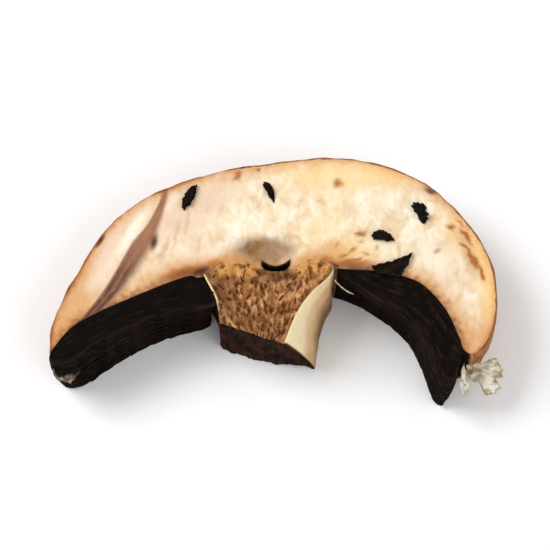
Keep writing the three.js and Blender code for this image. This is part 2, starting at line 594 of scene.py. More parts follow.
class Finish(Nodes):
    """A material and the patterns that finishes are made from, with lengths in millimetres."""

    def __init__(self, name: str) -> None:
        """Makes an empty material of that name."""
        self.material = bpy.data.materials.new(name)
        self.material.use_nodes = True
        super().__init__(self.material.node_tree)
        self.tree.nodes.clear()
        place = self.add("ShaderNodeTexCoord", output="Object")
        self.place = self.stretch(place, (1 / MM,) * 3)

    def stretch(self, vector: Value, scale: Axes) -> Value:
        """The vector times a scale for each axis."""
        return self.add("ShaderNodeVectorMath", {"operation": "MULTIPLY"}, {0: vector, 1: scale})

    def mark(self, name: str) -> Value:
        """A value that the mesh carries at each point."""
        return self.add("ShaderNodeAttribute", {"attribute_name": name}, output="Fac")

    def broken(self, name: str, pattern: Value, shows: Band) -> Value:
        """A mark broken up by a pattern: what shows of it at the pattern's 0, and the gain at its 1."""
        return self.mark(name) * (pattern * shows[1] + shows[0])

    def blotches(self, place: Value, look: Noise) -> Value:
        """Noise at a place that is counted in the noise's own pitch."""
        inputs = {"Vector": place, "Scale": 1.0, "Detail": look.detail, "Distortion": look.warp}
        return self.add("ShaderNodeTexNoise", None, inputs)

    def cloud(self, look: Noise) -> Value:
        """Soft blotches from 0 to 1."""
        return self.blotches(self.stretch(self.place, look.scale()), look)

    def laid(self, first: str, second: str, look: Noise) -> Value:
        """Soft blotches from 0 to 1 that follow two of the mesh's marks."""
        scale = look.scale()
        parts = {0: self.mark(first) * scale[0], 1: self.mark(second) * scale[1]}
        return self.blotches(self.add("ShaderNodeCombineXYZ", None, parts), look)

    def cells(self, pitch: float) -> Value:
        """Distance to the nearest of many scattered points, in parts of their spacing."""
        place = self.stretch(self.place, (1 / pitch,) * 3)
        return self.add("ShaderNodeTexVoronoi", None, {"Vector": place, "Scale": 1.0}, "Distance")

    def step(self, value: Value, band: tuple[object, object]) -> Value:
        """A soft step from 0 at the band's low end to 1 at its high end."""
        settings = {"interpolation_type": "SMOOTHSTEP"}
        inputs = {"Value": value, "From Min": band[0], "From Max": band[1]}
        return self.add("ShaderNodeMapRange", settings, inputs)

    def rise(self, value: Value, edge: Edge, pattern: Value | None = None) -> Value:
        """The edge's soft step up in a value, from 0 to the edge's strength."""
        moved = value if pattern is None else value + pattern.swing(edge.swing)
        return self.step(moved, edge.band) * edge.strength

    def fade(self, value: Value, edge: Edge, pattern: Value | None = None) -> Value:
        """The edge's soft step down in a value, from the edge's strength to 0."""
        moved = value if pattern is None else value + pattern.swing(edge.swing)
        return (1 - self.step(moved, edge.band)) * edge.strength

    def blend(self, factor: object, first: object, second: object) -> Value:
        """The first colour going over into the second as the factor rises."""
        settings = {"data_type": "RGBA", "clamp_factor": True}
        return self.add("ShaderNodeMix", settings, {0: factor, 6: first, 7: second}, 2)

    def ramp(self, value: Value, places: tuple[float, ...], *colours: Colour) -> Value:
        """A colour looked up from a value, with one colour at each place."""
        return self.add("ShaderNodeValToRGB", {"stops": list(zip(places, colours))}, {"Fac": value})

    def close(
        self, colour: Value, rough: object, surface: Surface, height: Value | None = None
    ) -> bpy.types.Material:
        """Ends the material in one surface shader.

        Args:
            colour: its colour.
            rough: the pattern of its roughness.
            surface: how it takes the light.
            height: the pattern of its fine relief, if it has any.

        Returns:
            The finished material.
        """
        inputs = {
            "Base Color": colour,
            "Roughness": rough * surface.rough[1] + surface.rough[0],
            "Specular IOR Level": surface.specular,
            "Subsurface Weight": surface.glow,
            "Subsurface Radius": surface.spread,
            "Subsurface Scale": surface.reach * MM,
        }
        if height is not None:
            if surface.finer:
                height = height + self.cloud(surface.finer) / 2
            bump = {"Height": height, "Distance": surface.depth * MM, "Strength": surface.strength}
            inputs["Normal"] = self.add("ShaderNodeBump", None, bump)
        shader = self.add("ShaderNodeBsdfPrincipled", None, inputs)
        output = self.tree.nodes.new("ShaderNodeOutputMaterial")
        self.tree.links.new(shader.socket, output.inputs["Surface"])
        return self.material


def in_shares(first: Value, second: Value, part: float) -> Value:
    """Two values added up, with that part of the whole from the first."""
    return first * part + second * (1 - part)


@dataclass(frozen=True)
class StemFinish:
    """Tan stem flesh with a network of ridges and pits, a pale side and a dark trimmed foot."""

    pale: Colour = srgb(220, 166, 112)
    tan: Colour = srgb(166, 112, 68)
    brown: Colour = srgb(116, 74, 44)
    # Dark brown of the pits: partly the flesh's own brown, partly painted shade in the pit hollows
    pit: Colour = srgb(64, 32, 16)
    shade: Colour = srgb(78, 46, 26)
    warm: Colour = srgb(226, 162, 92)
    side: Colour = srgb(255, 234, 190)
    # The side's darker tones: partly its browner skin, partly painted shade where the side turns from the
    # light
    side_shade: Colour = srgb(236, 196, 146)
    side_dark_shade: Colour = srgb(146, 108, 72)
    foot: Colour = srgb(54, 24, 7)
    foot_dark: Colour = srgb(16, 6, 2)
    fibres: Noise = Noise(1.0, 5.0, (1.4, 0.7, 1.0), 0.25)
    fibre_part: float = 0.65
    mottle: Noise = Noise(2.2, 3.0)
    face_places: Places = (0.36, 0.49, 0.6)
    shade_shows: Band = (0.4, 0.6)
    joint_shows: Band = (0.3, 1.0)
    pit_cloud: Noise = Noise(0.9, 2.0)
    pit_shows: Band = (0.5, 0.5)
    side_cloud: Noise = Noise(2.4)
    side_swing: float = 0.5
    side_behind: float = 0.8
    side_up: float = 0.45
    side_places: Places = (0.3, 0.56, 0.95)
    foot_streaks: Noise = Noise(1.3, 5.0, (2.0, 1.0, 0.3), 0.8)
    foot_places: Places = (0.38, 0.62)
    line_cloud: Noise = Noise(1.5, 3.0)
    line: Edge = Edge((0.3, 0.5))
    fine: Noise = Noise(0.35)
    surface: Surface = Surface((0.5, 0.25), finer=Noise(0.15, 2.0), specular=0.02, glow=0.08)

    def face(self, f: Finish) -> Value:
        """The cut face, with fibres that fan out and dark pits between them."""
        tone = in_shares(f.laid("fan", "reach", self.fibres), f.cloud(self.mottle), self.fibre_part)
        colour = f.ramp(tone, self.face_places, self.brown, self.tan, self.pale)
        colour = f.blend(f.broken("shade", tone, self.shade_shows), colour, self.shade)
        colour = f.blend(f.broken("joint", tone, self.joint_shows), colour, self.warm)
        # The pits darkened where they are deepest: partly the flesh's own brown, partly painted shade
        return f.blend(f.broken("pit", f.cloud(self.pit_cloud), self.pit_shows), colour, self.pit)

    def side_wall(self, f: Finish) -> Value:
        """The smooth skin of the side, which darkens away from the cut face and towards the cap: partly its
        browner skin, partly painted shade where the side turns from the light.
        """
        # Darker away from the cut face, partly painted shade, and towards the cap, its browner skin
        back = (1 - f.mark("rise")) * self.side_behind + f.mark("up_stem") * self.side_up
        back = back + f.cloud(self.side_cloud).swing(self.side_swing)
        return f.ramp(back, self.side_places, self.side, self.side_shade, self.side_dark_shade)

    def foot_cut(self, f: Finish) -> Value:
        """The trimmed foot, streaked across its width; the same dark brown is painted shade on the stem's
        left wall.
        """
        return f.ramp(f.cloud(self.foot_streaks), self.foot_places, self.foot_dark, self.foot)

    def material(self) -> bpy.types.Material:
        """Builds the material."""
        f = Finish("stem_flesh")
        line = f.mark("skin_line") * f.rise(f.cloud(self.line_cloud), self.line)
        colour = f.blend(line, self.face(f), self.side)
        colour = f.blend(f.mark("side"), colour, self.side_wall(f))
        # The trimmed foot in its own dark brown, and the stem's left wall in the same dark brown as painted
        # shade
        colour = f.blend(f.mark("foot").most(f.mark("back")), colour, self.foot_cut(f))
        fine = f.cloud(self.fine)
        return f.close(colour, fine, self.surface, fine)


@dataclass(frozen=True)
class Skin:
    """The cap's orange-brown skin, with fibres that run from the crown to the rim."""

    dark: Colour = srgb(92, 50, 24)
    mid: Colour = srgb(150, 90, 46)
    light: Colour = srgb(184, 122, 72)
    fibres: Noise = Noise(1.0, 6.0, (0.3, 3.0, 1.0), 0.3)
    blotches: Noise = Noise(3.5, 5.0, warp=0.8)
    fibre_part: float = 0.45
    places: Places = (0.36, 0.46, 0.54, 0.65)
    scales: Noise = Noise(0.5, 5.0, warp=0.6)
    scale_part: float = 0.5
    scale_edge: Edge = Edge((0.5, 0.62))
    scaly: Edge = Edge((0.45, 0.6), strength=0.5)
    scaly_least: float = 0.25

    def colour(self, f: Finish) -> Value:
        """The skin's colour."""
        fibres = f.laid("run", "rise", self.fibres)
        blotches = f.cloud(self.blotches)
        tone = in_shares(fibres, blotches, self.fibre_part)
        colour = f.ramp(tone, self.places, self.dark, self.mid, self.mid, self.light)
        scales = f.rise(in_shares(f.cloud(self.scales), fibres, self.scale_part), self.scale_edge)
        scaly = f.rise(blotches, self.scaly) + self.scaly_least
        return f.blend(scales * scaly, colour, self.dark)


@dataclass(frozen=True)
class Bruise:
    """The brown band across the flesh, with two darker strips low down."""

    tan: Colour = srgb(184, 134, 96)
    brown: Colour = srgb(142, 96, 72)
    dark: Colour = srgb(96, 58, 44)
    streaks: Noise = Noise(1.0, 4.0, (9.0, 1.7, 1.0), 0.5)
    streak_part: float = 0.6
    cloud: Noise = Noise(1.1)
    tan_edge: Edge = Edge((0.3, 0.7), strength=0.6)
    low: Edge = Edge((0.35, 0.9), 0.9)
    low_strength: float = 0.6
    strips: Places = (-0.5, 0.25)
    strip_swing: float = 0.8
    strip: Edge = Edge((0.01, 0.09))
    shows: Band = (0.6, 0.9)

    def over(self, f: Finish, flesh: Value) -> Value:
        """The flesh's colour with the bruise on it."""
        soft = in_shares(f.laid("down", "cross", self.streaks), f.cloud(self.cloud), self.streak_part)
        low = f.rise(f.mark("down"), self.low, soft)
        colour = f.blend(f.rise(soft, self.tan_edge), self.brown, self.tan)
        colour = f.blend(low * self.low_strength, colour, self.dark)
        across = f.mark("cross") + soft.swing(self.strip_swing)
        for middle in self.strips:
            off = across - middle
            colour = f.blend(f.fade(off * off, self.strip) * low, colour, self.dark)
        return f.blend(f.broken("bruise", soft, self.shows), flesh, colour)


@dataclass(frozen=True)
class HollowFinish:
    """The grey-brown patch over the hollow above the stem, partly its own colour and partly painted shade,
    with painted shade on its left side, and the slit in it, painted black as shade.
    """

    brown: Colour = srgb(156, 116, 70)
    dark: Colour = srgb(128, 84, 40)
    # Near-black of the deep slit, painted shade
    deep: Colour = srgb(6, 4, 3)
    cloud: Noise = Noise(1.3)
    places: Places = (0.35, 0.65)
    side_cloud: Noise = Noise(0.9)
    side_shows: Band = (0.4, 1.0)
    ragged: Noise = Noise(1.6)
    edge: Edge = Edge((0.1, 1.05), 0.9, 0.85)

    def over(self, f: Finish, flesh: Value) -> Value:
        """The flesh's colour with the hollow on it."""
        # The hollow's left side, darkened as painted shade
        side = f.broken("hollow_shaded_side", f.cloud(self.side_cloud), self.side_shows)
        colour = f.blend(side, flesh, self.dark)
        ragged = f.rise(f.mark("hollow"), self.edge, f.cloud(self.ragged))
        # The grey-brown patch, partly its own colour and partly painted shade of the hollow
        patch = f.ramp(f.cloud(self.cloud), self.places, self.dark, self.brown)
        return f.blend(ragged, colour, patch)


@dataclass(frozen=True)
class CapFinish:
    """Cream cap flesh that browns towards its edges, inside its skin.

    The rim's and the root's edges are counted in millimetres from the rim and from the gills.
    """

    light: Colour = srgb(250, 240, 220)
    cream: Colour = srgb(240, 220, 186)
    peach: Colour = srgb(222, 190, 150)
    pink: Colour = srgb(232, 204, 178)
    yellow: Colour = srgb(244, 214, 154)
    edge: Colour = srgb(214, 158, 96)
    gold: Colour = srgb(250, 196, 122)
    line: Colour = srgb(160, 98, 54)
    # Dark brown of the beaded line along the gills' roots, and painted shade on the flesh walls between the
    # gill blades
    root: Colour = srgb(96, 56, 30)
    tan: Colour = srgb(214, 156, 94)
    stain: Colour = srgb(176, 106, 46)
    # Dark brown of the dark spots, and painted shade by the gills' roots and below the slit
    dark: Colour = srgb(76, 38, 16)
    stem: StemFinish = StemFinish()
    hide: Skin = Skin()
    bruise: Bruise = Bruise()
    hollow: HollowFinish = HollowFinish()
    wide: Noise = Noise(4.5, warp=0.8)
    blotches: Noise = Noise(1.7, 3.0, (1.3, 0.8, 1.0), 0.6)
    blotch_part: float = 0.7
    places: Places = (0.38, 0.5, 0.64)
    part_shows: Band = (0.4, 1.0)
    fine: Noise = Noise(0.9, 5.0)
    freckles: Edge = Edge((0.5, 0.78), strength=0.4)
    streaks: Noise = Noise(0.7, 4.0, (2.2, 0.5, 1.0), 0.5)
    streak_edge: Edge = Edge((0.56, 0.75), strength=0.7)
    browned_shows: Band = (0.27, 0.9)
    rim_edge: Edge = Edge((0.1, 2.6), 1.6, 0.75)
    outer_edge: Edge = Edge((-0.1, 1.0), 1.6)
    outer_least: float = 0.25
    outer_browned: float = 0.6
    root_edge: Edge = Edge((0.0, 3.4), 2.2, 0.85)
    line_edge: Edge = Edge((-0.4, 1.5), 2.2, 0.85)
    beads: Noise = Noise(0.6, 3.0)
    bead_edge: Edge = Edge((0.4, 0.62), strength=0.7)
    bead_ends: Band = (-1.0, 0.4)
    bead_swing: float = 2.2
    clear: Edge = Edge((0.75, 1.0))
    tan_edge: Edge = Edge((0.0, 0.7), 0.5, 0.8)
    stem_edge: Edge = Edge((0.68, 1.0), 0.6)
    stem_core: Edge = Edge((0.8, 0.99), strength=0.45)
    stem_least: float = 0.55
    stem_full: Edge = Edge((0.92, 0.99))
    under_shade_strength: float = 0.9
    skin_wander: Noise = Noise(0.7, 3.0)
    skin_edge: Edge = Edge((0.12, 0.3), 0.5)
    grain: Noise = Noise(0.45)
    skin_roughening: float = 0.48
    surface: Surface = Surface(
        (0.42, 0.25), strength=0.7, finer=Noise(0.16, 2.0), specular=0.25, glow=0.12, reach=1.2,
        spread=(1.0, 0.5, 0.28),
    )

    def flesh(self, f: Finish) -> Value:
        """The cut flesh, from its middle to its browned edges."""
        wide, fine = f.cloud(self.wide), f.cloud(self.fine)
        mottle = in_shares(f.cloud(self.blotches), wide, self.blotch_part)
        colour = f.ramp(mottle, self.places, self.light, self.cream, self.peach)
        # The pale parts include a painted highlight along the bruise's left edge
        for name, tint in (("pink", self.pink), ("yellow", self.yellow), ("pale", self.light)):
            colour = f.blend(f.broken(name, wide, self.part_shows), colour, tint)
        colour = f.blend(f.rise(fine, self.freckles), colour, self.peach)
        streaks = f.rise(f.cloud(self.streaks), self.streak_edge) * f.mark("pink")
        colour = f.blend(streaks, colour, self.peach)
        colour = f.blend(f.broken("browned", mottle, self.browned_shows), colour, self.tan)
        colour = self._at_edges(f, colour, fine)
        colour = self._at_stem(f, colour, wide, fine)
        # Painted shade on the flesh walls over the gills, where the blades meet the cap
        colour = f.blend(f.mark("under") * self.under_shade_strength, colour, self.root)
        outer = f.fade(f.mark("rim"), self.outer_edge, fine)
        browned = f.mark("browned") * self.outer_browned + self.outer_least
        return f.blend(outer * browned, colour, self.line)

    def _at_edges(self, f: Finish, flesh: Value, fine: Value) -> Value:
        """The flesh's colour with its browned rim and the dark line over the gills."""
        root = f.mark("root")
        golden = f.blend(f.mark("yellow"), self.edge, self.gold)
        colour = f.blend(f.fade(f.mark("rim"), self.rim_edge, fine), flesh, golden)
        colour = f.blend(f.fade(root, self.root_edge, fine), colour, self.edge)
        clear = f.fade(f.mark("tan"), self.clear)
        colour = f.blend(f.fade(root, self.line_edge, fine) * clear, colour, self.line)
        beads = f.rise(f.cloud(self.beads), self.bead_edge) + self.bead_ends[1]
        beaded = f.fade(root, Edge((self.bead_ends[0], beads), self.bead_swing), fine)
        return f.blend(beaded * clear, colour, self.root)

    def _at_stem(self, f: Finish, flesh: Value, wide: Value, fine: Value) -> Value:
        """The flesh's colour going over into the stem's."""
        tan = f.mark("tan")
        colour = f.blend(f.rise(tan, self.tan_edge, wide), flesh, self.tan)
        at_stem = f.rise(tan, self.stem_edge, fine) * (f.rise(tan, self.stem_core) + self.stem_least)
        return f.blend(at_stem.most(f.rise(tan, self.stem_full)), colour, self.stem.face(f))

    def material(self) -> bpy.types.Material:
        """Builds the material."""
        f = Finish("cap_flesh_and_skin")
        colour = self.bruise.over(f, self.flesh(f))
        colour = f.blend(f.mark("stain"), colour, self.stain)
        colour = self.hollow.over(f, colour)
        # Dark spots, and painted shade by the gills' roots and below the slit
        colour = f.blend(f.mark("dark"), colour, self.dark)
        # The slit painted near-black, as shade
        colour = f.blend(f.mark("deep"), colour, self.hollow.deep)
        edge = f.fade(f.mark("rim"), self.skin_edge, f.cloud(self.skin_wander))
        skin = f.mark("skin").most(edge)
        colour = f.blend(skin, colour, self.hide.colour(f))
        grain = f.cloud(self.grain)
        return f.close(colour, grain + skin * self.skin_roughening, self.surface, grain)


@dataclass(frozen=True)
class GillFinish:
    """Black-brown gill blades, a little lighter along their free edges."""

    dark: Colour = srgb(4, 2, 2)
    mid: Colour = srgb(18, 12, 9)
    light: Colour = srgb(52, 36, 26)
    streaks: Noise = Noise(1.0, 5.0, (0.5, 9.0, 1.0), 0.3)
    streak_part: float = 0.6
    cloud: Noise = Noise(0.8, 3.0)
    cloud_part: float = 0.25
    blade_part: float = 0.25
    places: Places = (0.36, 0.6, 0.8)
    edge: Edge = Edge((0.8, 1.0), strength=0.5)
    edge_streaks: Edge = Edge((0.35, 0.6))
    surface: Surface = Surface((0.5, 0.3), finer=Noise(0.15, 3.0), specular=0.04)

    def material(self) -> bpy.types.Material:
        """Builds the material."""
        f = Finish("gill_blades")
        streaks = f.laid("run", "depth", self.streaks)
        tone = streaks * self.streak_part + f.mark("tone") * self.blade_part
        tone = tone + f.cloud(self.cloud) * self.cloud_part
        colour = f.ramp(tone, self.places, self.dark, self.mid, self.light)
        edge = f.rise(f.mark("depth"), self.edge) * f.rise(streaks, self.edge_streaks)
        colour = f.blend(edge, colour, self.light)
        return f.close(colour, streaks, self.surface, streaks)


@dataclass(frozen=True)
class VeilFinish:
    """Thin torn membrane, browned where it is frayed."""

    name: str = "torn_veil"
    pale: Colour = srgb(240, 233, 214)
    grey: Colour = srgb(188, 180, 156)
    brown: Colour = srgb(140, 104, 70)
    places: Places = (0.32, 0.44, 0.58)
    fibres: Noise = Noise(1.6, 3.0, (1.0, 2.0, 1.0), 0.6)
    blotches: Noise = Noise(1.4, 3.0)
    frayed: Edge = Edge((0.02, 0.16), 0.4, 0.7)
    surface: Surface = Surface((0.5, 0.3), 0.06, glow=0.25, spread=(1.0, 0.6, 0.35))

    def material(self) -> bpy.types.Material:
        """Builds the material."""
        f = Finish(self.name)
        fibres, blotches = f.cloud(self.fibres), f.cloud(self.blotches)
        colour = f.ramp(fibres, self.places, self.brown, self.grey, self.pale)
        colour = f.blend(f.fade(f.mark("fray"), self.frayed, blotches), colour, self.brown)
        return f.close(colour, blotches, self.surface, fibres)


@dataclass(frozen=True)
class SoilFinish:
    """Black peat with a few browner grains."""

    black: Colour = srgb(9, 7, 6)
    brown: Colour = srgb(40, 28, 21)
    grain_pitch: float = 0.16
    clumps: Noise = Noise(0.5, 5.0)
    clump_part: float = 0.7
    places: Places = (0.4, 0.72)
    surface: Surface = Surface((0.75, 0.2), 0.06, 1.0, specular=0.1)

    def material(self) -> bpy.types.Material:
        """Builds the material."""
        f = Finish("peat_soil")
        grains, clumps = f.cells(self.grain_pitch), f.cloud(self.clumps)
        tone = in_shares(clumps, grains, self.clump_part)
        colour = f.ramp(tone, self.places, self.black, self.brown)
        return f.close(colour, clumps, self.surface, grains + clumps)


@dataclass(frozen=True)
class Spot:
    """A mark on the cut face.

    Attributes:
        at: its middle in millimetres.
        size: its length and width in millimetres.
        turn: the angle of its length from X, in degrees.
        strength: how strong it is, 0 to 1.
        EDGE: how sharply it ends.
    """

    EDGE: ClassVar[float] = 1.5
    at: tuple[float, float]
    size: tuple[float, float]
    turn: float
    strength: float

    def cover(self, points: Array) -> Array:
        """How strongly it marks each place, 0 to its strength."""
        angle = math.radians(self.turn)
        dx, dy = points[:, 0] - self.at[0], points[:, 1] - self.at[1]
        lengthwise = (dx * math.cos(angle) + dy * math.sin(angle)) / (self.size[0] / 2)
        crosswise = (dy * math.cos(angle) - dx * math.sin(angle)) / (self.size[1] / 2)
        return self.strength * np.exp(-((lengthwise**2 + crosswise**2) ** self.EDGE))


def spots(*rows: tuple[float, ...]) -> tuple[Spot, ...]:
    """Marks from rows of X, Y, length, width, turn and strength."""
    return tuple(Spot(row[:2], row[2:4], *row[4:]) for row in rows)


def covered(marks: tuple[Spot, ...], points: Array) -> Array:
    """How strongly the marks cover each place, 0 to 1."""
    return np.clip(sum(mark.cover(points) for mark in marks), 0, 1)


# Rusty stains, browned parts and dark spots of the cut flesh, some of the dark spots being painted shade
STAINS = spots(
    (8.5, 23.2, 1.3, 1.1, 0, 1.0), (11.3, 16.1, 1.5, 0.9, 10, 1.0), (23.0, 17.1, 1.1, 0.9, 0, 1.0),
    (21.1, 13.6, 0.9, 0.7, 0, 0.7), (-4.7, 24.3, 1.7, 1.1, 70, 1.0), (-2.1, 25.2, 0.7, 0.5, 0, 0.8),
    (25.1, 15.8, 2.6, 0.7, -56, 1.0), (24.6, 14.6, 1.2, 0.5, -40, 0.7), (25.7, 12.9, 3.0, 0.8, -64, 1.0),
    (26.9, 10.6, 1.9, 0.5, -74, 1.0), (24.4, 17.6, 1.6, 0.4, -48, 0.8), (20.8, 22.2, 1.3, 0.6, -35, 0.8),
    (10.2, 13.9, 1.4, 0.5, 40, 0.8), (12.0, 13.3, 1.1, 0.5, -30, 0.8), (9.1, 13.1, 1.3, 0.5, 20, 0.8),
    (13.4, 14.2, 0.9, 0.4, 60, 0.7), (11.0, 12.7, 1.2, 0.4, 10, 0.8), (8.2, 14.6, 0.9, 0.4, 70, 0.5),
    (11.4, 15.0, 0.7, 0.4, 20, 0.5), (-12.9, 23.3, 7.6, 1.3, 21, 1.0), (-14.2, 22.6, 2.4, 0.9, 30, 0.8),
    (-24.6, 12.6, 4.5, 0.9, 62, 0.7), (-14.2, 13.6, 4.0, 0.9, 72, 0.4), (-12.6, 16.2, 4.4, 0.7, 80, 0.3),
    (-11.2, 18.0, 3.6, 0.6, 84, 0.25), (-9.6, 14.8, 3.0, 0.6, 78, 0.22), (-7.6, 12.0, 2.6, 1.0, 20, 0.7),
    (-11.4, 10.9, 5.6, 1.5, 16, 1.0), (10.6, 12.1, 5.0, 1.0, -3, 0.9), (7.0, 12.6, 2.2, 1.0, -10, 0.7),
    (9.6, 12.2, 1.6, 0.6, 10, 0.5), (-26.3, 9.3, 9.0, 1.8, 68, 0.6), (25.6, 12.4, 5.0, 2.0, -66, 0.45),
    (24.3, 15.8, 3.5, 1.6, -52, 0.3),
)
TAN_PARTS = spots(
    (-27.0, 4.0, 9.0, 5.0, 70, 1.0), (-12.5, 10.8, 9.0, 3.0, 20, 0.9), (26.0, 1.6, 8.0, 4.5, 80, 1.0),
    (7.5, 13.5, 6.0, 3.5, 0, 0.9), (0.2, 11.2, 7.0, 1.6, 0, 0.8), (-25.6, 10.0, 15.0, 2.6, 68, 0.9),
    (-21.0, 17.8, 9.0, 1.6, 50, 0.6), (-12.5, 23.2, 9.0, 1.8, 20, 0.7), (26.5, 13.0, 11.0, 2.0, -72, 0.3),
    (-25.9, 8.6, 9.0, 4.0, 66, 0.5), (-24.4, 5.8, 6.0, 3.0, 50, 0.8),
)
# Dark spots; the second to the sixth are painted shade where the flesh meets the gills and the stem, and
# below the slit
DARK_SPOTS_AND_SHADE = spots(
    (-15.5, 15.0, 2.3, 1.0, 80, 1.0), (-9.3, 10.9, 2.4, 1.1, 25, 0.9), (-11.6, 10.6, 6.0, 1.1, 16, 0.5),
    (10.4, 11.5, 6.5, 1.0, -4, 0.6), (0.3, 11.1, 3.4, 0.9, 0, 0.5), (7.7, 11.9, 1.6, 0.8, -20, 0.6),
    (-22.5, 15.2, 2.4, 0.7, 58, 1.0), (20.5, 22.2, 1.5, 0.9, -35, 0.8), (-2.0, 25.3, 0.4, 0.35, 0, 0.8),
)
# Darker parts of the stem's cut face
STEM_SHADES = spots(
    (-6.4, 8.2, 6.5, 3.4, 102, 0.85), (0.0, 10.2, 6.5, 1.9, 0, 0.85), (-2.8, 4.2, 8.0, 3.2, -20, 0.6),
    (7.0, 11.3, 2.6, 1.6, -30, 0.7), (-8.8, 10.4, 2.4, 1.3, -25, 0.9), (1.0, 3.2, 3.0, 2.0, 60, 0.4),
)
# Paler, pinker and yellower parts of the flesh; the first two pale parts, along the bruise's left edge, are
# a painted highlight
PALE_PARTS_AND_HIGHLIGHT = spots(
    (-18.2, 16.8, 9.0, 1.6, 62, 0.9), (-21.5, 11.6, 8.0, 1.4, 60, 0.2), (20.5, 13.0, 7.0, 4.0, -60, 0.7),
    (13.0, 20.5, 7.0, 4.0, 10, 0.6), (-4.0, 17.5, 9.0, 3.0, 0, 0.5),
)
PINK_PARTS = spots(
    (-19.5, 13.5, 17.0, 9.0, 60, 0.65), (-11.5, 18.5, 9.0, 6.0, 30, 0.9), (-9.5, 13.5, 8.0, 4.0, 20, 0.6),
    (22.5, 9.5, 12.0, 6.0, -75, 0.45), (-22.6, 11.5, 13.0, 5.0, 62, 0.8), (-7.0, 22.3, 10.0, 4.5, 15, 0.7),
)
YELLOW_PARTS = spots(
    (9.5, 24.0, 18.0, 4.5, 0, 0.9), (7.0, 17.0, 8.0, 6.0, 60, 0.6), (24.5, 16.0, 7.0, 4.0, -55, 0.8),
    (10.5, 13.6, 7.0, 3.0, 0, 0.9), (27.6, 9.0, 14.0, 3.4, -82, 0.9),
)
CAP_PARTS = {"pale": PALE_PARTS_AND_HIGHLIGHT, "pink": PINK_PARTS, "yellow": YELLOW_PARTS, "browned": TAN_PARTS}


@dataclass(frozen=True)
class Sponge:
    """The stem flesh's fanned-out fibres and pits, which run on a little way into the cap.

    Attributes:
        focus: the place that the fibres fan out from, and fan_radius where their width is measured.
        mesh_width: the spacing of the network of ridges, across and along the fibres.
        tries: how many single pits are tried, and area their ranges of X and Y.
        pit_width: the width of a pit in parts of its length, and pit_turn its turn in degrees.
        pit_spacing: how close their middles may be, and pit_reach how many lengths they reach.
        ragged: how the pits' outlines wander, and swell the slow waves of the cut face.
        pit_mark: the depths between which the finish shows a pit in its dark colour, which is partly painted
            shade.
    """

    focus: tuple[float, float] = (-1.2, -3.5)
    fan_radius: float = 12.0
    mesh_width: tuple[float, float] = (0.85, 1.5)
    mesh_wander: Relief = Relief(0.45, 1.3, 1)
    furrows: Relief = Relief(1.0, 1.0)
    furrow_band: Band = (0.05, 0.4)
    furrow_depth: float = 0.07
    holes: Relief = Relief(1.0, 0.72, shift=31.7)
    hole_band: Band = (0.2, 0.55)
    hole_depth: float = 0.2
    tries: int = 900
    area: tuple[Band, Band] = ((-9.4, 8.5), (1.4, 13.0))
    pit_length: Band = (0.5, 1.6)
    pit_width: Band = (0.3, 0.55)
    pit_depth: Band = (0.06, 0.36)
    pit_turn: float = 14.0
    pit_spacing: float = 0.58
    pit_reach: float = 1.5
    ragged: Relief = Relief(0.13, 0.7, 2, 9.1)
    swell: Relief = Relief(0.08, 2.0)
    pit_mark: Band = (0.03, 0.26)
    seed: int = 5

    def fan(self, points: Array) -> tuple[Array, Array]:
        """Distances across and along the fibres, in millimetres."""
        arm = points[:, :2] - self.focus
        return np.arctan2(arm[:, 0], arm[:, 1]) * self.fan_radius, np.linalg.norm(arm, axis=1)

    def marks(self, points: Array) -> dict[str, Array]:
        """The marks for the fibres and shades, which run on over the joint."""
        fan, reach = self.fan(points)
        return {"fan": fan, "reach": reach, "shade": covered(STEM_SHADES, points)}

    def pits(self) -> list[Spot]:
        """Draws the single pits, none too close to one before it."""
        draw = np.random.default_rng(self.seed)
        kept = []
        for _ in range(self.tries):
            at = np.array([draw.uniform(*side) for side in self.area])
            length = draw.uniform(*self.pit_length)
            width = length * draw.uniform(*self.pit_width)
            angle, strength = draw.normal(0, self.pit_turn), draw.uniform(*self.pit_depth)
            if all(math.dist(at, pit.at) >= self.pit_spacing for pit in kept):
                way = at - self.focus
                turn = math.degrees(math.atan2(way[1], way[0])) + angle
                kept.append(Spot((at[0], at[1]), (length, width), turn, strength))
        return kept

    def depth(self, points: Array, grain: Grain) -> Array:
        """How far each place lies below the ridges, in millimetres."""
        fan, reach = self.fan(points)
        laid = np.column_stack([fan / self.mesh_width[0], reach / self.mesh_width[1], fan * 0])
        laid[:, :2] += grain.relief(points, self.mesh_wander)[:, None]
        furrows = np.abs(grain.relief(laid, self.furrows))
        depth = self.furrow_depth * smoothstep(*self.furrow_band, furrows)
        depth += self.hole_depth * smoothstep(*self.hole_band, grain.relief(laid, self.holes))
        ragged = grain.wander(points, self.ragged)
        for pit in self.pits():
            near = np.abs(points[:, 1] - pit.at[1]) < self.pit_reach * pit.size[0]
            depth[near] = np.maximum(depth[near], pit.cover(ragged[near]))
        return depth


@dataclass(frozen=True)
class Joint:
    """The line where cap and stem meet.

    Attributes:
        middle: X of its middle, and beside_middle how far from there its warm band begins.
        before_ends: the distances from X 0 at which that ends.
        fade: the distances from the line at which it fades.
    """

    nodes: int = 60
    middle: float = 0.3
    beside_middle: Band = (1.6, 3.6)
    before_ends: Band = (6.8, 8.4)
    fade: Band = (0.2, 1.7)

    def line(self) -> Array:
        """Even points of the line."""
        return even_line(STEM_LINE, self.nodes)

    def gap(self, points: Array) -> Array:
        """Distance of each place from the line, in millimetres."""
        return np.linalg.norm(points[:, None, :2] - self.line()[None], axis=2).min(axis=1)

    def near(self, points: Array) -> Array:
        """How near each place is to the line, 1 at it, apart from its middle and its ends."""
        x = points[:, 0]
        band = smoothstep(*self.beside_middle, np.abs(x - self.middle)) * fall(*self.before_ends, np.abs(x))
        return fall(*self.fade, self.gap(points)) * band


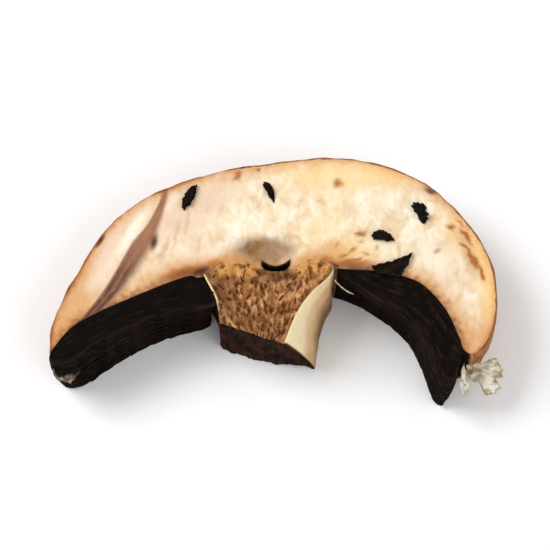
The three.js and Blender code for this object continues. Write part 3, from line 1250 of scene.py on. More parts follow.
@dataclass(frozen=True)
class BruiseShape:
    """The band of the bruise across the cut face.

    Attributes:
        line: its middle, from the crown down, and widths its width at even steps down it.
        crisp: where its crisp left side fades, in halves of its width, and soft its right side.
        end: where it fades past its ends, in millimetres.
        widest: how many halves of its width are told apart.
    """

    line: Line = (
        (-14.2, 22.8), (-14.4, 20.9), (-15.7, 17.2), (-17.4, 14.0), (-19.2, 10.7), (-20.6, 8.4),
        (-22.2, 6.3), (-23.8, 4.4),
    )
    widths: tuple[float, ...] = (0.7, 1.0, 1.6, 2.6, 2.5, 2.2, 1.7, 1.2)
    nodes: int = 80
    crisp: Band = (0.8, 1.1)
    soft: Band = (0.3, 1.6)
    end: Band = (0.1, 0.9)
    widest: float = 3.0

    def marks(self, points: Array) -> dict[str, Array]:
        """How bruised each place is.

        Args:
            points: places in millimetres.

        Returns:
            The marks bruise, down for how far down the line, and cross for how far across it.
        """
        line = even_line(self.line, self.nodes)
        gap = points[:, None, :2] - line[None]
        nearest = np.argmin(np.sum(gap**2, axis=2), axis=1)
        way = np.gradient(line, axis=0)[nearest]
        off = gap[np.arange(len(points)), nearest]
        side = (way[:, 0] * off[:, 1] - way[:, 1] * off[:, 0]) / np.linalg.norm(way, axis=1)
        steps = np.linspace(0, len(line) - 1, len(self.widths))
        half = np.interp(nearest, steps, self.widths) / 2
        past_end = np.linalg.norm(off, axis=1) - np.abs(side)
        bruise = fall(*self.crisp, -side / half) * fall(*self.soft, side / half) * fall(*self.end, past_end)
        cross = np.clip(side / half, -self.widest, self.widest)
        return {"bruise": bruise, "down": nearest / len(line), "cross": cross}


@dataclass(frozen=True)
class Hollow:
    """The shallow hollow above the stem, with a deep slit low in it.

    Attributes:
        at: its middle, and half half its width and half its height.
        top: Y of its upper end, and floor of its lower end.
        bowl: where its depth grows between them, and bowl_end where it ends.
        patch: where its grey-brown patch, partly painted shade, fades, in halves of its size, and side its
            left side, darker with painted shade.
        slit_roof: how high the slit's roof arches.
        slit_wall: where its wall stands past its roof, and slit_end where it ends below.
        dark_wall: the same for its black painted shade, with dark_end.
    """

    at: tuple[float, float] = (-0.3, 13.8)
    half: tuple[float, float] = (3.6, 2.4)
    top: float = 16.0
    floor: float = 12.3
    depth: float = 0.9
    bowl: Band = (0.0, 1.1)
    bowl_end: Band = (1.1, 1.35)
    patch: Band = (0.3, 1.3)
    side: Spot = Spot((-2.9, 14.2), (4.8, 2.8), 12, 1.0)
    slit_at: tuple[float, float] = (0.3, 12.45)
    slit_half: tuple[float, float] = (1.8, 1.5)
    slit_roof: float = 0.5
    slit_depth: float = 4.5
    slit_wall: Band = (-0.14, 0.02)
    slit_end: Band = (0.86, 1.04)
    dark_wall: Band = (-0.3, -0.14)
    dark_end: Band = (1.0, 1.14)

    def shape(self, points: Array) -> tuple[Array, dict[str, Array]]:
        """Works the hollow out.

        Args:
            points: places in millimetres.

        Returns:
            The depth that it takes out of the cut face, and the marks for its patch, for the painted shade
            of its left side and for the slit's painted shade.
        """
        x, y = points[:, 0] - self.at[0], points[:, 1]
        patch = np.hypot(x / self.half[0], (y - self.at[1]) / self.half[1])
        down = (self.top - y) / (self.top - self.floor)
        roof = np.clip(1 - (x / self.half[0]) ** 2, 0, 1)
        bowl = smoothstep(*self.bowl, down) * roof * fall(*self.bowl_end, down)
        dx = (points[:, 0] - self.slit_at[0]) / self.slit_half[0]
        dy = (self.slit_at[1] - y) / self.slit_half[1]
        past_roof, out = dy - self.slit_roof * (1 - dx**2), np.hypot(dx, dy)
        slit = smoothstep(*self.slit_wall, past_roof) * fall(*self.slit_end, out)
        # Where the slit is painted black as shade
        deep = smoothstep(*self.dark_wall, past_roof) * fall(*self.dark_end, out)
        marks = {"hollow": fall(*self.patch, patch), "hollow_shaded_side": self.side.cover(points), "deep": deep}
        return np.maximum(bowl * self.depth, slit * self.slit_depth), marks


@dataclass(frozen=True)
class CapSlice:
    """The cap: domed flesh and skin over the gills and the stem.

    Attributes:
        count: nodes along, across and through.
        swell: the slow waves of the cut face, and grain its fine relief.
        fibres: the skin's fibres, fibre_length times longer than wide, and skin_waves its waves.
        skin_rim: the distances from the rim at which the skin ends.
        skin_turn: the upward parts of the normal at which it ends, and so on for the other turns.
        tan_width: how far the stem's flesh runs on into the cap, and joined where it takes over.
        dents: how deep the bruise, the stains, the dark spots and painted shade, and the rim are, and
            rim_width.
        rear_relief: how much of the relief the rear face has.
    """

    count: tuple[int, int, int] = (330, 96, 28)
    edge_radius: float = 0.22
    swell: Relief = Relief(0.1, 6.5)
    grain: Relief = Relief(0.035, 1.0)
    fibres: Relief = Relief(0.12, (0.8, 0.55, 1.0))
    fibre_length: float = 5.0
    skin_waves: Relief = Relief(0.2, 5.0)
    skin_rim: Band = (0.02, 0.2)
    skin_turn: Band = (0.6, 0.95)
    under_root: Band = (0.05, 0.35)
    under_turn: Band = (0.3, 0.8)
    top_turn: Band = (0.5, 0.9)
    face_turn: Band = (0.4, 0.9)
    ragged: Relief = Relief(0.25, 0.9, shift=5.3)
    tan_width: float = 2.6
    joined: Band = (0.4, 0.9)
    dents: tuple[float, float, float, float] = (0.12, 0.1, 0.15, 0.08)
    rim_width: float = 0.5
    rear_relief: float = 0.3
    bruise: BruiseShape = BruiseShape()
    hollow: Hollow = Hollow()
    joint: Joint = Joint()
    sponge: Sponge = Sponge()

    def build(self, grain: Grain) -> bpy.types.Object:
        """Builds the cap's mesh.

        Args:
            grain: the relief to use.

        Returns:
            The cap, with the marks that its finish reads.
        """
        patch = Patch.between(CROWN, LEFT_GILL_LINE + STEM_LINE[1:] + RIGHT_GILL_LINE[1:])
        shell, block = Slab(patch, 0, SLICE_THICKNESS, self.edge_radius, self.count).shell()
        flat = shell.points.copy()
        rim, root = shell.marks.pop("first_edge"), shell.marks.pop("second_edge")
        run = block.along * patch.length()
        shell.points = rounded_off(shell.points)
        upward = shell.normals()[:, 2]
        on_top = smoothstep(*self.top_turn, upward)
        on_skin = fall(*self.skin_rim, rim) * fall(*self.skin_turn, np.abs(upward))
        # The flesh walls by the gills' roots, which the finish paints dark as shade between the blades
        under = fall(*self.under_root, root) * fall(*self.under_turn, np.abs(upward))
        tan = fall(0, self.tan_width, self.joint.gap(flat))
        joined = smoothstep(*self.joined, tan)
        pit = self.sponge.depth(flat, grain) * joined * on_top
        dark, stain = covered(DARK_SPOTS_AND_SHADE, flat), covered(STAINS, grain.wander(flat, self.ragged))
        bruise = self.bruise.marks(flat)
        hollow_depth, hollow = self.hollow.shape(flat)
        for name, spots in CAP_PARTS.items():
            shell.marks[name] = covered(spots, flat)
        shell.marks.update(rim=rim, root=root, run=run, rise=flat[:, 2], skin=on_skin, under=under)
        shell.marks.update(self.sponge.marks(flat))
        # The pit mark carries the pits' dark colour, partly painted shade, a little way into the cap
        shell.marks.update(tan=tan, joint=self.joint.near(flat), pit=smoothstep(*self.sponge.pit_mark, pit))
        shell.marks.update(down=bruise["down"], cross=bruise["cross"])
        on_face = {"bruise": bruise["bruise"], "stain": stain, "dark": dark, **hollow}
        shell.marks.update({name: mark * on_top for name, mark in on_face.items()})
        dented = (bruise["bruise"], stain, dark, np.exp(-rim / self.rim_width))
        cut = grain.relief(flat, self.swell) + grain.relief(flat, self.grain)
        cut = cut * (1 - joined) + joined * grain.relief(flat, self.sponge.swell)
        cut -= sum(depth * mark for depth, mark in zip(self.dents, dented)) + pit
        laid = np.column_stack([run / self.fibre_length, flat[:, 2], flat[:, 2] * 0])
        hide = grain.relief(laid, self.fibres) + grain.relief(flat, self.skin_waves)
        face = smoothstep(*self.face_turn, np.abs(upward))
        shell.push(face * cut * np.where(upward > 0, 1, self.rear_relief) + on_skin * hide)
        shell.points[:, 2] = np.maximum(shell.points[:, 2] - hollow_depth * on_top, 0)
        return shell.to_object("cap_flesh_and_skin")


@dataclass(frozen=True)
class StemStub:
    """The cut stem under the cap.

    Attributes:
        top: its end in the cap, from left to right, and foot its trimmed end.
        count: nodes from the top down, across and through.
        swell: how far its side reaches past its cut face, lowest down, and swell_curve how quickly.
        swell_right: the X between which it begins, and swell_top the Y below which it does.
        dip: how far its face dips where the cap's flesh covers it, and dip_band where.
        foot_from: where the foot begins in parts of its length, as wall_from does for its sides.
        line_fade: where its pale skin line fades, and line_loss by how much.
    """

    top: Line = (
        (-9.2, 10.5), (-7.2, 11.9), (-5.2, 12.6), (-3.0, 12.0), (-1.6, 11.0), (0.3, 10.95),
        (2.2, 11.0), (3.6, 12.0), (5.4, 12.7), (7.9, 11.8),
    )
    left: Line = ((-9.2, 10.5), (-8.3, 8.9), (-7.5, 7.2), (-7.1, 5.4), (-6.9, 3.9))
    right: Line = ((7.9, 11.8), (7.3, 10.3), (4.9, 8), (3.1, 5.4), (1.3, 1.1))
    foot: Line = ((-6.9, 3.9), (-4.6, 3.1), (-1.7, 2.0), (1.3, 1.1))
    count: tuple[int, int, int] = (130, 180, 50)
    edge_radius: float = 0.15
    swell: float = 4.3
    swell_curve: float = 0.8
    swell_right: Band = (-3.0, 1.0)
    swell_top: float = 10.4
    dip: float = 0.08
    dip_band: Band = (-0.1, 0.25)
    face_turn: Band = (0.75, 0.95)
    foot_from: Band = (0.97, 1.0)
    wall_from: Band = (0.02, 0.06)
    right_from: Band = (0.35, 0.65)
    line_width: Band = (0.12, 0.42)
    line_fade: Band = (0.45, 0.8)
    line_loss: float = 0.85
    ends: Relief = Relief(0.28, (1.1, 0.9, 3.2), 4)
    walls: Relief = Relief(0.05, 3.0)
    joint: Joint = Joint()
    sponge: Sponge = Sponge()

    def build(self, grain: Grain) -> bpy.types.Object:
        """Builds the stem's mesh.

        Args:
            grain: the relief to use.

        Returns:
            The stem, with the marks that its finish reads.
        """
        patch = Patch(*(even_line(line) for line in (self.left, self.right, self.top, self.foot)))
        shell, block = Slab(patch, 0, SLICE_THICKNESS, self.edge_radius, self.count).shell()
        flat = shell.points.copy()
        left_edge = shell.marks["first_edge"]
        shell.marks.clear()
        behind = (1 - flat[:, 2] / SLICE_THICKNESS) ** self.swell_curve
        low = np.clip((self.swell_top - flat[:, 1]) / (self.swell_top - self.foot[-1][1]), 0, 1)
        right = smoothstep(*self.swell_right, flat[:, 0])
        shell.points[:, 0] += self.swell * behind * np.sqrt(low) * right
        shell.points = rounded_off(shell.points)
        on_top = smoothstep(*self.face_turn, shell.normals()[:, 2])
        at_foot = smoothstep(*self.foot_from, block.along)
        wall = (1 - on_top) * (1 - at_foot) * smoothstep(*self.wall_from, block.along)
        at_foot = at_foot * (1 - on_top)
        rightward = smoothstep(*self.right_from, block.across)
        pit = self.sponge.depth(flat, grain)
        faded = 1 - self.line_loss * smoothstep(*self.line_fade, block.along)
        shell.marks.update(self.sponge.marks(flat))
        shell.marks.update(rise=flat[:, 2] / SLICE_THICKNESS, up_stem=1 - block.along, foot=at_foot)
        # side is the pale right wall; back is the left wall, which the finish darkens as painted shade
        shell.marks.update(side=wall * rightward, back=wall * (1 - rightward))
        shell.marks["skin_line"] = fall(*self.line_width, left_edge) * on_top * faded
        shell.marks["joint"] = self.joint.near(flat) * on_top
        # The pits' mark, from their depth, for the dark pit colour that is partly painted shade
        shell.marks["pit"] = smoothstep(*self.sponge.pit_mark, pit) * on_top
        joint = self.joint.line()
        under_cap = flat[:, 1] - np.interp(flat[:, 0], joint[:, 0], joint[:, 1])
        dip = self.dip * smoothstep(*self.dip_band, under_cap)
        face = grain.relief(flat, self.sponge.swell) - pit - dip
        walls, ends = grain.relief(flat, self.walls), grain.relief(flat, self.ends)
        shell.push(on_top * face + at_foot * ends + wall * walls)
        shell.points[:, 2] = np.maximum(shell.points[:, 2], 0)
        return shell.to_object("stem_flesh")


class Slot(Enum):
    """The material slots."""

    CAP_FLESH = "cap_flesh"
    STEM_FLESH = "stem_flesh"
    GILLS = "gills"
    VEIL = "veil"
    SOIL = "soil"


def settle(piece: bpy.types.Object, material: bpy.types.Material, slot: Slot, *nodes: str) -> None:
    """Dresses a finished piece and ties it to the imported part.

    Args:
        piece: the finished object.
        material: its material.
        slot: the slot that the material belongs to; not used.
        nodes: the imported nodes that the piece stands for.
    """
    piece.data.materials.clear()
    piece.data.materials.append(material)
    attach(piece, BODY)
    if nodes:
        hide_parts(*nodes)
    log.info("%s: %d faces for %s", piece.name, len(piece.data.polygons), ", ".join(nodes) or "looks")


class Growth(Nodes):
    """A Geometry Nodes tree with named inputs, and the mesh that it grows.

    Attributes:
        RIPPLE_GAIN: what brings its noise to about -1 to 1, and RIPPLE_DETAIL how fine it is.
    """

    RIPPLE_GAIN = 2.6
    RIPPLE_DETAIL = 2.0

    def __init__(self, name: str, **inputs: str) -> None:
        """Makes an empty tree.

        Args:
            name: the tree's name.
            inputs: the socket type of each input, by its name with _ for a space.
        """
        super().__init__(bpy.data.node_groups.new(name, "GeometryNodeTree"))
        interface = self.tree.interface
        interface.new_socket("Mesh", in_out="OUTPUT", socket_type="NodeSocketGeometry")
        self.identifiers = {}
        for label, kind in inputs.items():
            title = label.replace("_", " ").title()
            socket = interface.new_socket(title, in_out="INPUT", socket_type=f"NodeSocket{kind}")
            self.identifiers[label] = socket.identifier
        self.inlet = self.tree.nodes.new("NodeGroupInput")

    def given(self, label: str) -> Value:
        """The named input."""
        return Value(self, self.inlet.outputs[label.replace("_", " ").title()])

    def keep(self, mesh: Value, name: str, value: object) -> Value:
        """Stores a number at each point under a name."""
        inputs = {"Geometry": mesh, "Name": name, "Value": value}
        return self.add("GeometryNodeStoreNamedAttribute", {"data_type": "FLOAT"}, inputs)

    def kept(self, name: str) -> Value:
        """Reads a stored number."""
        return self.add("GeometryNodeInputNamedAttribute", {"data_type": "FLOAT"}, {"Name": name})

    def vector(self, x: object, y: object, z: object) -> Value:
        """A vector from three numbers."""
        return self.add("ShaderNodeCombineXYZ", None, {0: x, 1: y, 2: z})

    def ripple(self, x: object, y: object, z: object) -> Value:
        """Smooth noise from -1 to 1 at that place."""
        inputs = {"Vector": self.vector(x, y, z), "Scale": 1.0, "Detail": self.RIPPLE_DETAIL}
        return self.add("ShaderNodeTexNoise", None, inputs).swing(self.RIPPLE_GAIN)

    def mixed(self, factor: object, first: object, second: object) -> Value:
        """The first number going over into the second as the factor rises."""
        return self.add("ShaderNodeMix", {"data_type": "FLOAT"}, {0: factor, 2: first, 3: second})

    def finish(self, mesh: Value) -> None:
        """Ends the tree: instances made real, and the material set."""
        real = self.add("GeometryNodeRealizeInstances", None, {"Geometry": mesh})
        inputs = {"Geometry": real, "Material": self.given("material")}
        dressed = self.add("GeometryNodeSetMaterial", None, inputs)
        outlet = self.tree.nodes.new("NodeGroupOutput")
        self.tree.links.new(dressed.socket, outlet.inputs[0])

    def grow(self, name: str, **values: object) -> bpy.types.Object:
        """Runs the tree.

        Args:
            name: the new object's name.
            values: the value of each input.

        Returns:
            An object at the origin with the grown mesh and no modifier.
        """
        piece = stood(name, bpy.data.meshes.new(name))
        modifier = piece.modifiers.new("growth", "NODES")
        modifier.node_group = self.tree
        for label, value in values.items():
            modifier[self.identifiers[label]] = value
        graph = bpy.context.evaluated_depsgraph_get()
        grown = piece.evaluated_get(graph)
        mesh = bpy.data.meshes.new_from_object(grown, preserve_all_data_layers=True, depsgraph=graph)
        piece.modifiers.remove(modifier)
        piece.data = mesh
        return piece


def guide_curve(name: str, line: Array) -> bpy.types.Object:
    """A curve for a tree to follow, in millimetres.

    Args:
        name: its name.
        line: its points, n by 2.

    Returns:
        The curve's object, which is removed once the tree has run.
    """
    curve = bpy.data.curves.new(name, "CURVE")
    curve.dimensions = "3D"
    spline = curve.splines.new("POLY")
    spline.points.add(len(line) - 1)
    heights, weights = np.zeros(len(line)), np.ones(len(line))
    spline.points.foreach_set("co", np.column_stack([line, heights, weights]).ravel())
    return stood(name, curve)


def face_outwards(mesh: bpy.types.Mesh) -> None:
    """Turns a closed mesh's faces round if it is inside out."""
    places = np.empty(len(mesh.vertices) * 3)
    mesh.vertices.foreach_get("co", places)
    mesh.calc_loop_triangles()
    corners = np.empty(len(mesh.loop_triangles) * 3, dtype=np.int64)
    mesh.loop_triangles.foreach_get("vertices", corners)
    a, b, c = places.reshape(-1, 3)[corners].reshape(-1, 3, 3).transpose(1, 0, 2)
    if np.sum(a * np.cross(b, c)) < 0:
        mesh.flip_normals()


@dataclass(frozen=True)
class Ripple:
    """Waves on a blade.

    Attributes:
        height: how high they are, in millimetres or in parts of the blade's depth.
        along: how many there are along the blade.
        down: how many there are from its root to its free edge.
        each: how far they move on from one blade to the next.
        shift: which part of the endless waves they are.
    """

    height: float
    along: float
    down: float
    each: float
    shift: float = 0.0

    def on(self, g: Growth, run: Value, down: Value, blade: Value) -> Value:
        """The waves at a place on a blade."""
        seed = g.given("seed") + self.shift
        return g.ripple(run * self.along, down * self.down + blade * self.each, seed) * self.height


@dataclass(frozen=True)
class BladeRule:
    """How blades differ from flat, even sheets, in millimetres or in parts of their size.

    Attributes:
        chance_step: how far apart the blades' random numbers are, and chance_place where they begin.
        cut_chance: how raggedly a blade ends at a cut plane, and least_cut its least length.
        late_start: how far from the stem every second blade begins, with late_chance and latest_start.
        depth_chance: how much the blades' depths differ, and root_depth how far they reach in.
        taper: how much thinner the free edge is.
        lean_end: how far down a blade its lean and waves stop growing.
        top_room: how far the uppermost blade may stand over the cut face, and top_step and
            bottom_step the room that each next one leaves.
    """

    chance_step: float = 7.31
    chance_place: float = 0.5
    least_size: float = 0.5
    least_spread: float = 0.001
    cut_chance: float = 0.03
    least_cut: float = 0.05
    late_start: float = 0.45
    late_chance: float = 0.1
    latest_start: float = 0.6
    depth_chance: float = 0.06
    root_depth: float = 0.03
    taper: float = 0.45
    lean_end: float = 0.6
    top_room: float = 0.1
    top_step: float = 0.02
    bottom_step: float = 0.01
    grain_length: float = 20.0
    frill: Ripple = Ripple(0.05, 22.0, 0.0, 3.7)
    lean: Ripple = Ripple(0.3, 2.2, 0.0, 0.08, 9.0)
    waves: Ripple = Ripple(0.16, 7.0, 1.3, 0.33)
    ribs: Ripple = Ripple(0.1, 4.0, 9.0, 2.1, 3.0)


@dataclass(frozen=True)
class GillBundle:
    """A bundle of thin gill blades that fan out from the stem and are cut by both cut planes.

    Attributes:
        name: the name of its piece.
        roots: the line where the blades join the cap, from the stem to the rim.
        free_edges: the line of their lower edges, from the stem to the rim.
        seed: which random numbers its blades have.
        below: blades under the stem's axis plane.
        above: blades over it.
        inner_pitch: the spacing of the blades at the stem, and outer_pitch at the rim.
        drawn_in: how much shallower the hidden blades are at the stem, 0 to 1.
        COUNTS: the tree's whole numbers, and SIZES its others.
    """

    COUNTS: ClassVar[tuple[str, ...]] = ("below", "above", "nodes_along", "nodes_down")
    SIZES: ClassVar[tuple[str, ...]] = ("inner_pitch", "outer_pitch", "thickness", "drawn_in", "seed")

    name: str
    roots: Line
    free_edges: Line
    seed: float
    below: int = 21
    above: int = 15
    nodes_along: int = 66
    nodes_down: int = 12
    inner_pitch: float = 0.285
    outer_pitch: float = 0.36
    thickness: float = 0.21
    drawn_in: float = 0.4

    @classmethod
    def tree(cls, rule: BladeRule) -> Growth:
        """Makes the tree that grows a bundle.

        Args:
            rule: how the blades differ from flat, even sheets.

        Returns:
            The tree. Its inputs are the bundle's sizes in millimetres.
        """
        sizes = dict.fromkeys(cls.COUNTS, "Int") | dict.fromkeys(cls.SIZES, "Float")
        g = Growth("Gill blades", roots="Object", free_edges="Object", material="Material", **sizes)
        blades = cls._sheets(g)
        run, down, side, blade = (g.kept(name) for name in ("run", "depth", "side", "blade"))
        chance = g.ripple(blade * rule.chance_step, g.given("seed"), rule.chance_place)
        number = blade - g.given("below")
        above = g.math("GREATER_THAN", number, 0.0)
        inner, half = g.given("inner_pitch"), g.given("thickness") / 2
        outer = g.mixed(above, g.given("outer_pitch"), inner)
        room = g.mixed(above, WIDEST_HEIGHT, SLICE_THICKNESS - WIDEST_HEIGHT) + half
        spread = (outer - inner).most(rule.least_spread)
        reach = (room / g.math("ABSOLUTE", number).most(rule.least_size) - inner) / spread
        cut = reach.most(above).least(1.0 - chance * rule.cut_chance).most(rule.least_cut)
        late = g.math("MODULO", blade, 2.0) * (chance * rule.late_chance + rule.late_start)
        run = g.mixed(run, late.least(cut * rule.latest_start), cut)
        hidden = 1.0 - (number * inner + WIDEST_HEIGHT) / SLICE_THICKNESS
        drawn_in = hidden * (1.0 - run) * (1.0 - run) * g.given("drawn_in")
        frill = rule.frill.on(g, run, down, blade)
        depth = down * (1.0 + frill + chance * rule.depth_chance - drawn_in) - rule.root_depth
        lean = rule.lean.on(g, run, down, blade) * down
        bent = (rule.waves.on(g, run, down, blade) + lean) * down.least(rule.lean_end)
        half = half * (1.0 - down * rule.taper)
        bent = bent + rule.ribs.on(g, run, down, blade) + side * half
        height = number * g.mixed(run, inner, outer) + bent
        under_top = (g.given("above") - number + 1.0) * rule.top_step - rule.top_room
        z = (height + WIDEST_HEIGHT).most(blade * rule.bottom_step).least(SLICE_THICKNESS - under_top)
        x, y = cls._across(g, run, depth, z)
        inputs = {"Geometry": blades, "Position": g.vector(x * MM, y * MM, z * MM)}
        moved = g.add("GeometryNodeSetPosition", None, inputs)
        moved = g.keep(moved, "tone", chance / 2 + 1 / 2)
        g.finish(g.keep(moved, "run", run * rule.grain_length))
        return g

    @staticmethod
    def _sheets(g: Growth) -> Value:
        """Flat sheets, one for each blade, that know their number and each point's place on them."""
        sizes = {
            "Size": (1, 1, 1), "Vertices X": g.given("nodes_along"),
            "Vertices Y": g.given("nodes_down"), "Vertices Z": 2,
        }
        cube = g.add("GeometryNodeMeshCube", None, sizes)
        place = g.add("GeometryNodeInputPosition")
        for axis, (name, size, middle) in enumerate((("run", 1, 0.5), ("depth", 1, 0.5), ("side", 2, 0.0))):
            part = g.add("ShaderNodeSeparateXYZ", None, {0: place}, axis)
            cube = g.keep(cube, name, part * size + middle)
        count = g.given("below") + g.given("above") + 1.0
        line = g.add("GeometryNodeMeshLine", None, {"Count": count, "Offset": (0, 0, 1)})
        line = g.keep(line, "blade", g.add("GeometryNodeInputIndex"))
        blades = g.add("GeometryNodeInstanceOnPoints", None, {"Points": line, "Instance": cube})
        return g.add("GeometryNodeRealizeInstances", None, {"Geometry": blades})

    @staticmethod
    def _across(g: Growth, run: Value, depth: Value, z: Value) -> tuple[Value, Value]:
        """X and Y of a place between the roots and the free edges, drawn in off the widest plane."""
        ends = []
        for label in ("roots", "free_edges"):
            curve = g.add("GeometryNodeObjectInfo", None, {"Object": g.given(label)}, "Geometry")
            sample = {"Curves": curve, "Factor": run.most(0.0).least(1.0)}
            ends.append(g.add("GeometryNodeSampleCurve", {"mode": "FACTOR"}, sample, "Position"))
        mix = {"data_type": "VECTOR", "clamp_factor": False}
        flat = g.add("ShaderNodeMix", mix, {0: depth, 4: ends[0], 5: ends[1]}, 1)
        off = (z - WIDEST_HEIGHT) / CAP_RADIUS
        scale = g.math("SQRT", 1.0 - off * off)
        parts = (g.add("ShaderNodeSeparateXYZ", None, {0: flat}, axis) for axis in (0, 1))
        x, y = (part * scale + shift for part, shift in zip(parts, ROW_SHIFT))
        return x, y

    def build(self, tree: Growth, material: bpy.types.Material) -> bpy.types.Object:
        """Grows the bundle.

        Args:
            tree: the tree that grows it.
            material: the blades' material.

        Returns:
            The finished piece.
        """
        guides = [guide_curve("guide", even_line(line)) for line in (self.roots, self.free_edges)]
        sizes = {label: getattr(self, label) for label in (*self.COUNTS, *self.SIZES)}
        piece = tree.grow(self.name, roots=guides[0], free_edges=guides[1], material=material, **sizes)
        for guide in guides:
            bpy.data.objects.remove(guide)
        face_outwards(piece.data)
        return piece


@dataclass(frozen=True)
class VeilScrap:
    """A torn, crumpled scrap of veil that stands up through the slice.

    Attributes:
        name: the name of its piece.
        spine: the line that its section follows, from where it is attached to its torn edge.
        low: the height of its lower end, and high of its upper end.
        crumple: how far it is crumpled off its line.
        tear: how deep its edges are torn.
        jags: the torn edges along its line, and torn the one at its end.
    """

    name: str
    spine: Line
    low: float
    high: float
    crumple: float
    tear: float
    thickness: float = 0.22
    jags: Relief = Relief(1.0, 1.1, 4)
    torn: Relief = Relief(1.0, 1.3, 4)
    folds: Relief = Relief(1.0, (1.6, 2.4, 1.0), 4)
    flat_start: Band = (0.0, 0.25)
    thin: float = 0.35
    thinning: Band = (0.0, 0.2)
    step: float = 0.02
    spine_nodes: int = 200
    count: tuple[int, int, int] = (90, 70, 2)

    def build(self, grain: Grain) -> bpy.types.Object:
        """Builds the scrap.

        Args:
            grain: the relief to use.

        Returns:
            The scrap, with the mark that its finish reads.
        """
        block = Block.divided(self.count)
        spine = even_line(self.spine, self.spine_nodes)
        size = np.linalg.norm(np.diff(spine, axis=0), axis=1).sum()
        run, across = block.along, block.across
        zero, height = across * 0, self.high - self.low
        jag = self.tear * grain.relief(np.column_stack([run * size, zero, zero + self.low]), self.jags)
        torn = grain.relief(np.column_stack([zero + self.high, across * height, zero]), self.torn)
        rise = self.low + across * height + jag * (2 * across - 1)
        fraction = run * (1 - np.abs(torn) * self.tear / size)
        flat = along(spine, fraction)
        ahead, back = np.minimum(fraction + self.step, 1), np.maximum(fraction - self.step, 0)
        way = along(spine, ahead) - along(spine, back)
        way = way / np.maximum(np.linalg.norm(way, axis=1, keepdims=True), TINY)
        sheet = np.column_stack([fraction * size, across * height, zero + self.low])
        off = self.crumple * grain.relief(sheet, self.folds) * smoothstep(*self.flat_start, run)
        border = np.minimum.reduce([1 - run, across, 1 - across])
        thin = self.thin + (1 - self.thin) * smoothstep(*self.thinning, border)
        off = off + (block.up - 1 / 2) * self.thickness * thin
        points = np.column_stack([flat[:, 0] - way[:, 1] * off, flat[:, 1] + way[:, 0] * off, rise])
        shell = Shell(points, block.quads, {"fray": border})
        shell.face_outwards()
        shell.points = rounded_off(shell.points)
        return shell.to_object(self.name)


@dataclass(frozen=True)
class VeilMembrane:
    """A torn, crumpled scrap of veil that faces up.

    Attributes:
        name: the name of its piece.
        upper: its upper edge, from where it is attached to its torn end, and lower the other.
        heights: its height along the upper edge and along the lower edge.
        crumple: how far it is crumpled up and down.
        tear: how deep its edges are torn.
        sides: the tears of its two edges, and end those of its end.
    """

    name: str
    upper: Line
    lower: Line
    heights: tuple[float, float]
    crumple: float
    tear: float
    thickness: float = 0.2
    sides: Relief = Relief(1.0, 1.6)
    side_room: float = 0.9
    end: Relief = Relief(1.0, 0.8, 4)
    end_pitch: float = 4.0
    end_place: float = 7.0
    end_part: float = 0.35
    folds: Relief = Relief(1.0, (2.2, 2.8, 1.0), 2)
    flat_start: Band = (0.0, 0.3)
    thin: float = 0.3
    thinning: Band = (0.0, 0.4)
    count: tuple[int, int, int] = (110, 80, 2)

    def build(self, grain: Grain) -> bpy.types.Object:
        """Builds the scrap.

        Args:
            grain: the relief to use.

        Returns:
            The scrap, with the mark that its finish reads.
        """
        block = Block.divided(self.count)
        patch = Patch.between(self.upper, self.lower)
        run, across = block.along, block.across
        zero, off_middle = run * 0, across - 1 / 2
        lane = np.column_stack([run * patch.length(), zero, zero])
        spread = 1 + self.tear * grain.relief(lane, self.sides) * (2 * np.abs(off_middle)) ** 2
        end = np.column_stack([across * self.end_pitch, zero + self.end_place, zero])
        short = 1 - self.end_part * self.tear * (1 + grain.relief(end, self.end)) * run**2
        flat = patch.at(run * short, np.clip(1 / 2 + off_middle * spread * self.side_room, 0, 1))
        border = np.minimum.reduce([1 - run, across, 1 - across]) * 2
        folds = self.crumple * grain.relief(np.column_stack([flat, zero]), self.folds)
        thin = self.thickness * (self.thin + (1 - self.thin) * smoothstep(*self.thinning, border))
        height = self.heights[0] + (self.heights[1] - self.heights[0]) * across
        height = height + folds * smoothstep(*self.flat_start, run) + (block.up - 1 / 2) * thin
        shell = Shell(np.column_stack([flat, height]), block.quads, {"fray": border})
        shell.face_outwards()
        return shell.to_object(self.name)


@dataclass(frozen=True)
class Flake:
    """A loose, slightly curled shard of gill that lies on the cut face.

    Attributes:
        curl: how far its edges stand up, with curl_across and curl_along.
        ragged: how its outline wanders, and sunk how deep it sits in the face.
    """

    upper: Line = ((12.6, 11.5), (14.4, 12.0), (16.2, 12.5), (17.9, 13.1))
    lower: Line = ((12.9, 10.6), (14.6, 10.2), (16.1, 10.1), (17.0, 11.5), (17.9, 13.1))
    thickness: float = 0.32
    edge_radius: float = 0.08
    curl: float = 0.5
    curl_across: float = 0.4
    curl_along: float = 0.5
    ribs: Relief = Relief(0.09, 1.0)
    rib_length: float = 0.4
    rib_pitch: float = 9.0
    ragged: Relief = Relief(0.22, 0.9, 4, 8.1)
    sunk: float = 0.05
    tone: float = 0.8
    count: tuple[int, int, int] = (90, 40, 4)

    def build(self, grain: Grain) -> bpy.types.Object:
        """Builds the shard.

        Args:
            grain: the relief to use.

        Returns:
            The shard, with the marks that its finish reads.
        """
        patch = Patch.between(self.upper, self.lower)
        shell, block = Slab(patch, 0, self.thickness, self.edge_radius, self.count).shell()
        flat = shell.points
        across = block.across
        run = block.along * patch.length()
        shell.marks = {"run": run, "depth": across, "tone": np.full_like(across, self.tone)}
        lengthwise = np.column_stack([flat[:, 0] * self.rib_length, across * self.rib_pitch, flat[:, 2]])
        bend = self.curl * ((across - self.curl_across) ** 2 + self.curl_along * block.along**2)
        shell.points = grain.wander(flat, self.ragged)
        shell.points[:, 2] += SLICE_THICKNESS - self.sunk + bend + grain.relief(lengthwise, self.ribs)
        return shell.to_object("loose_gill_flake")


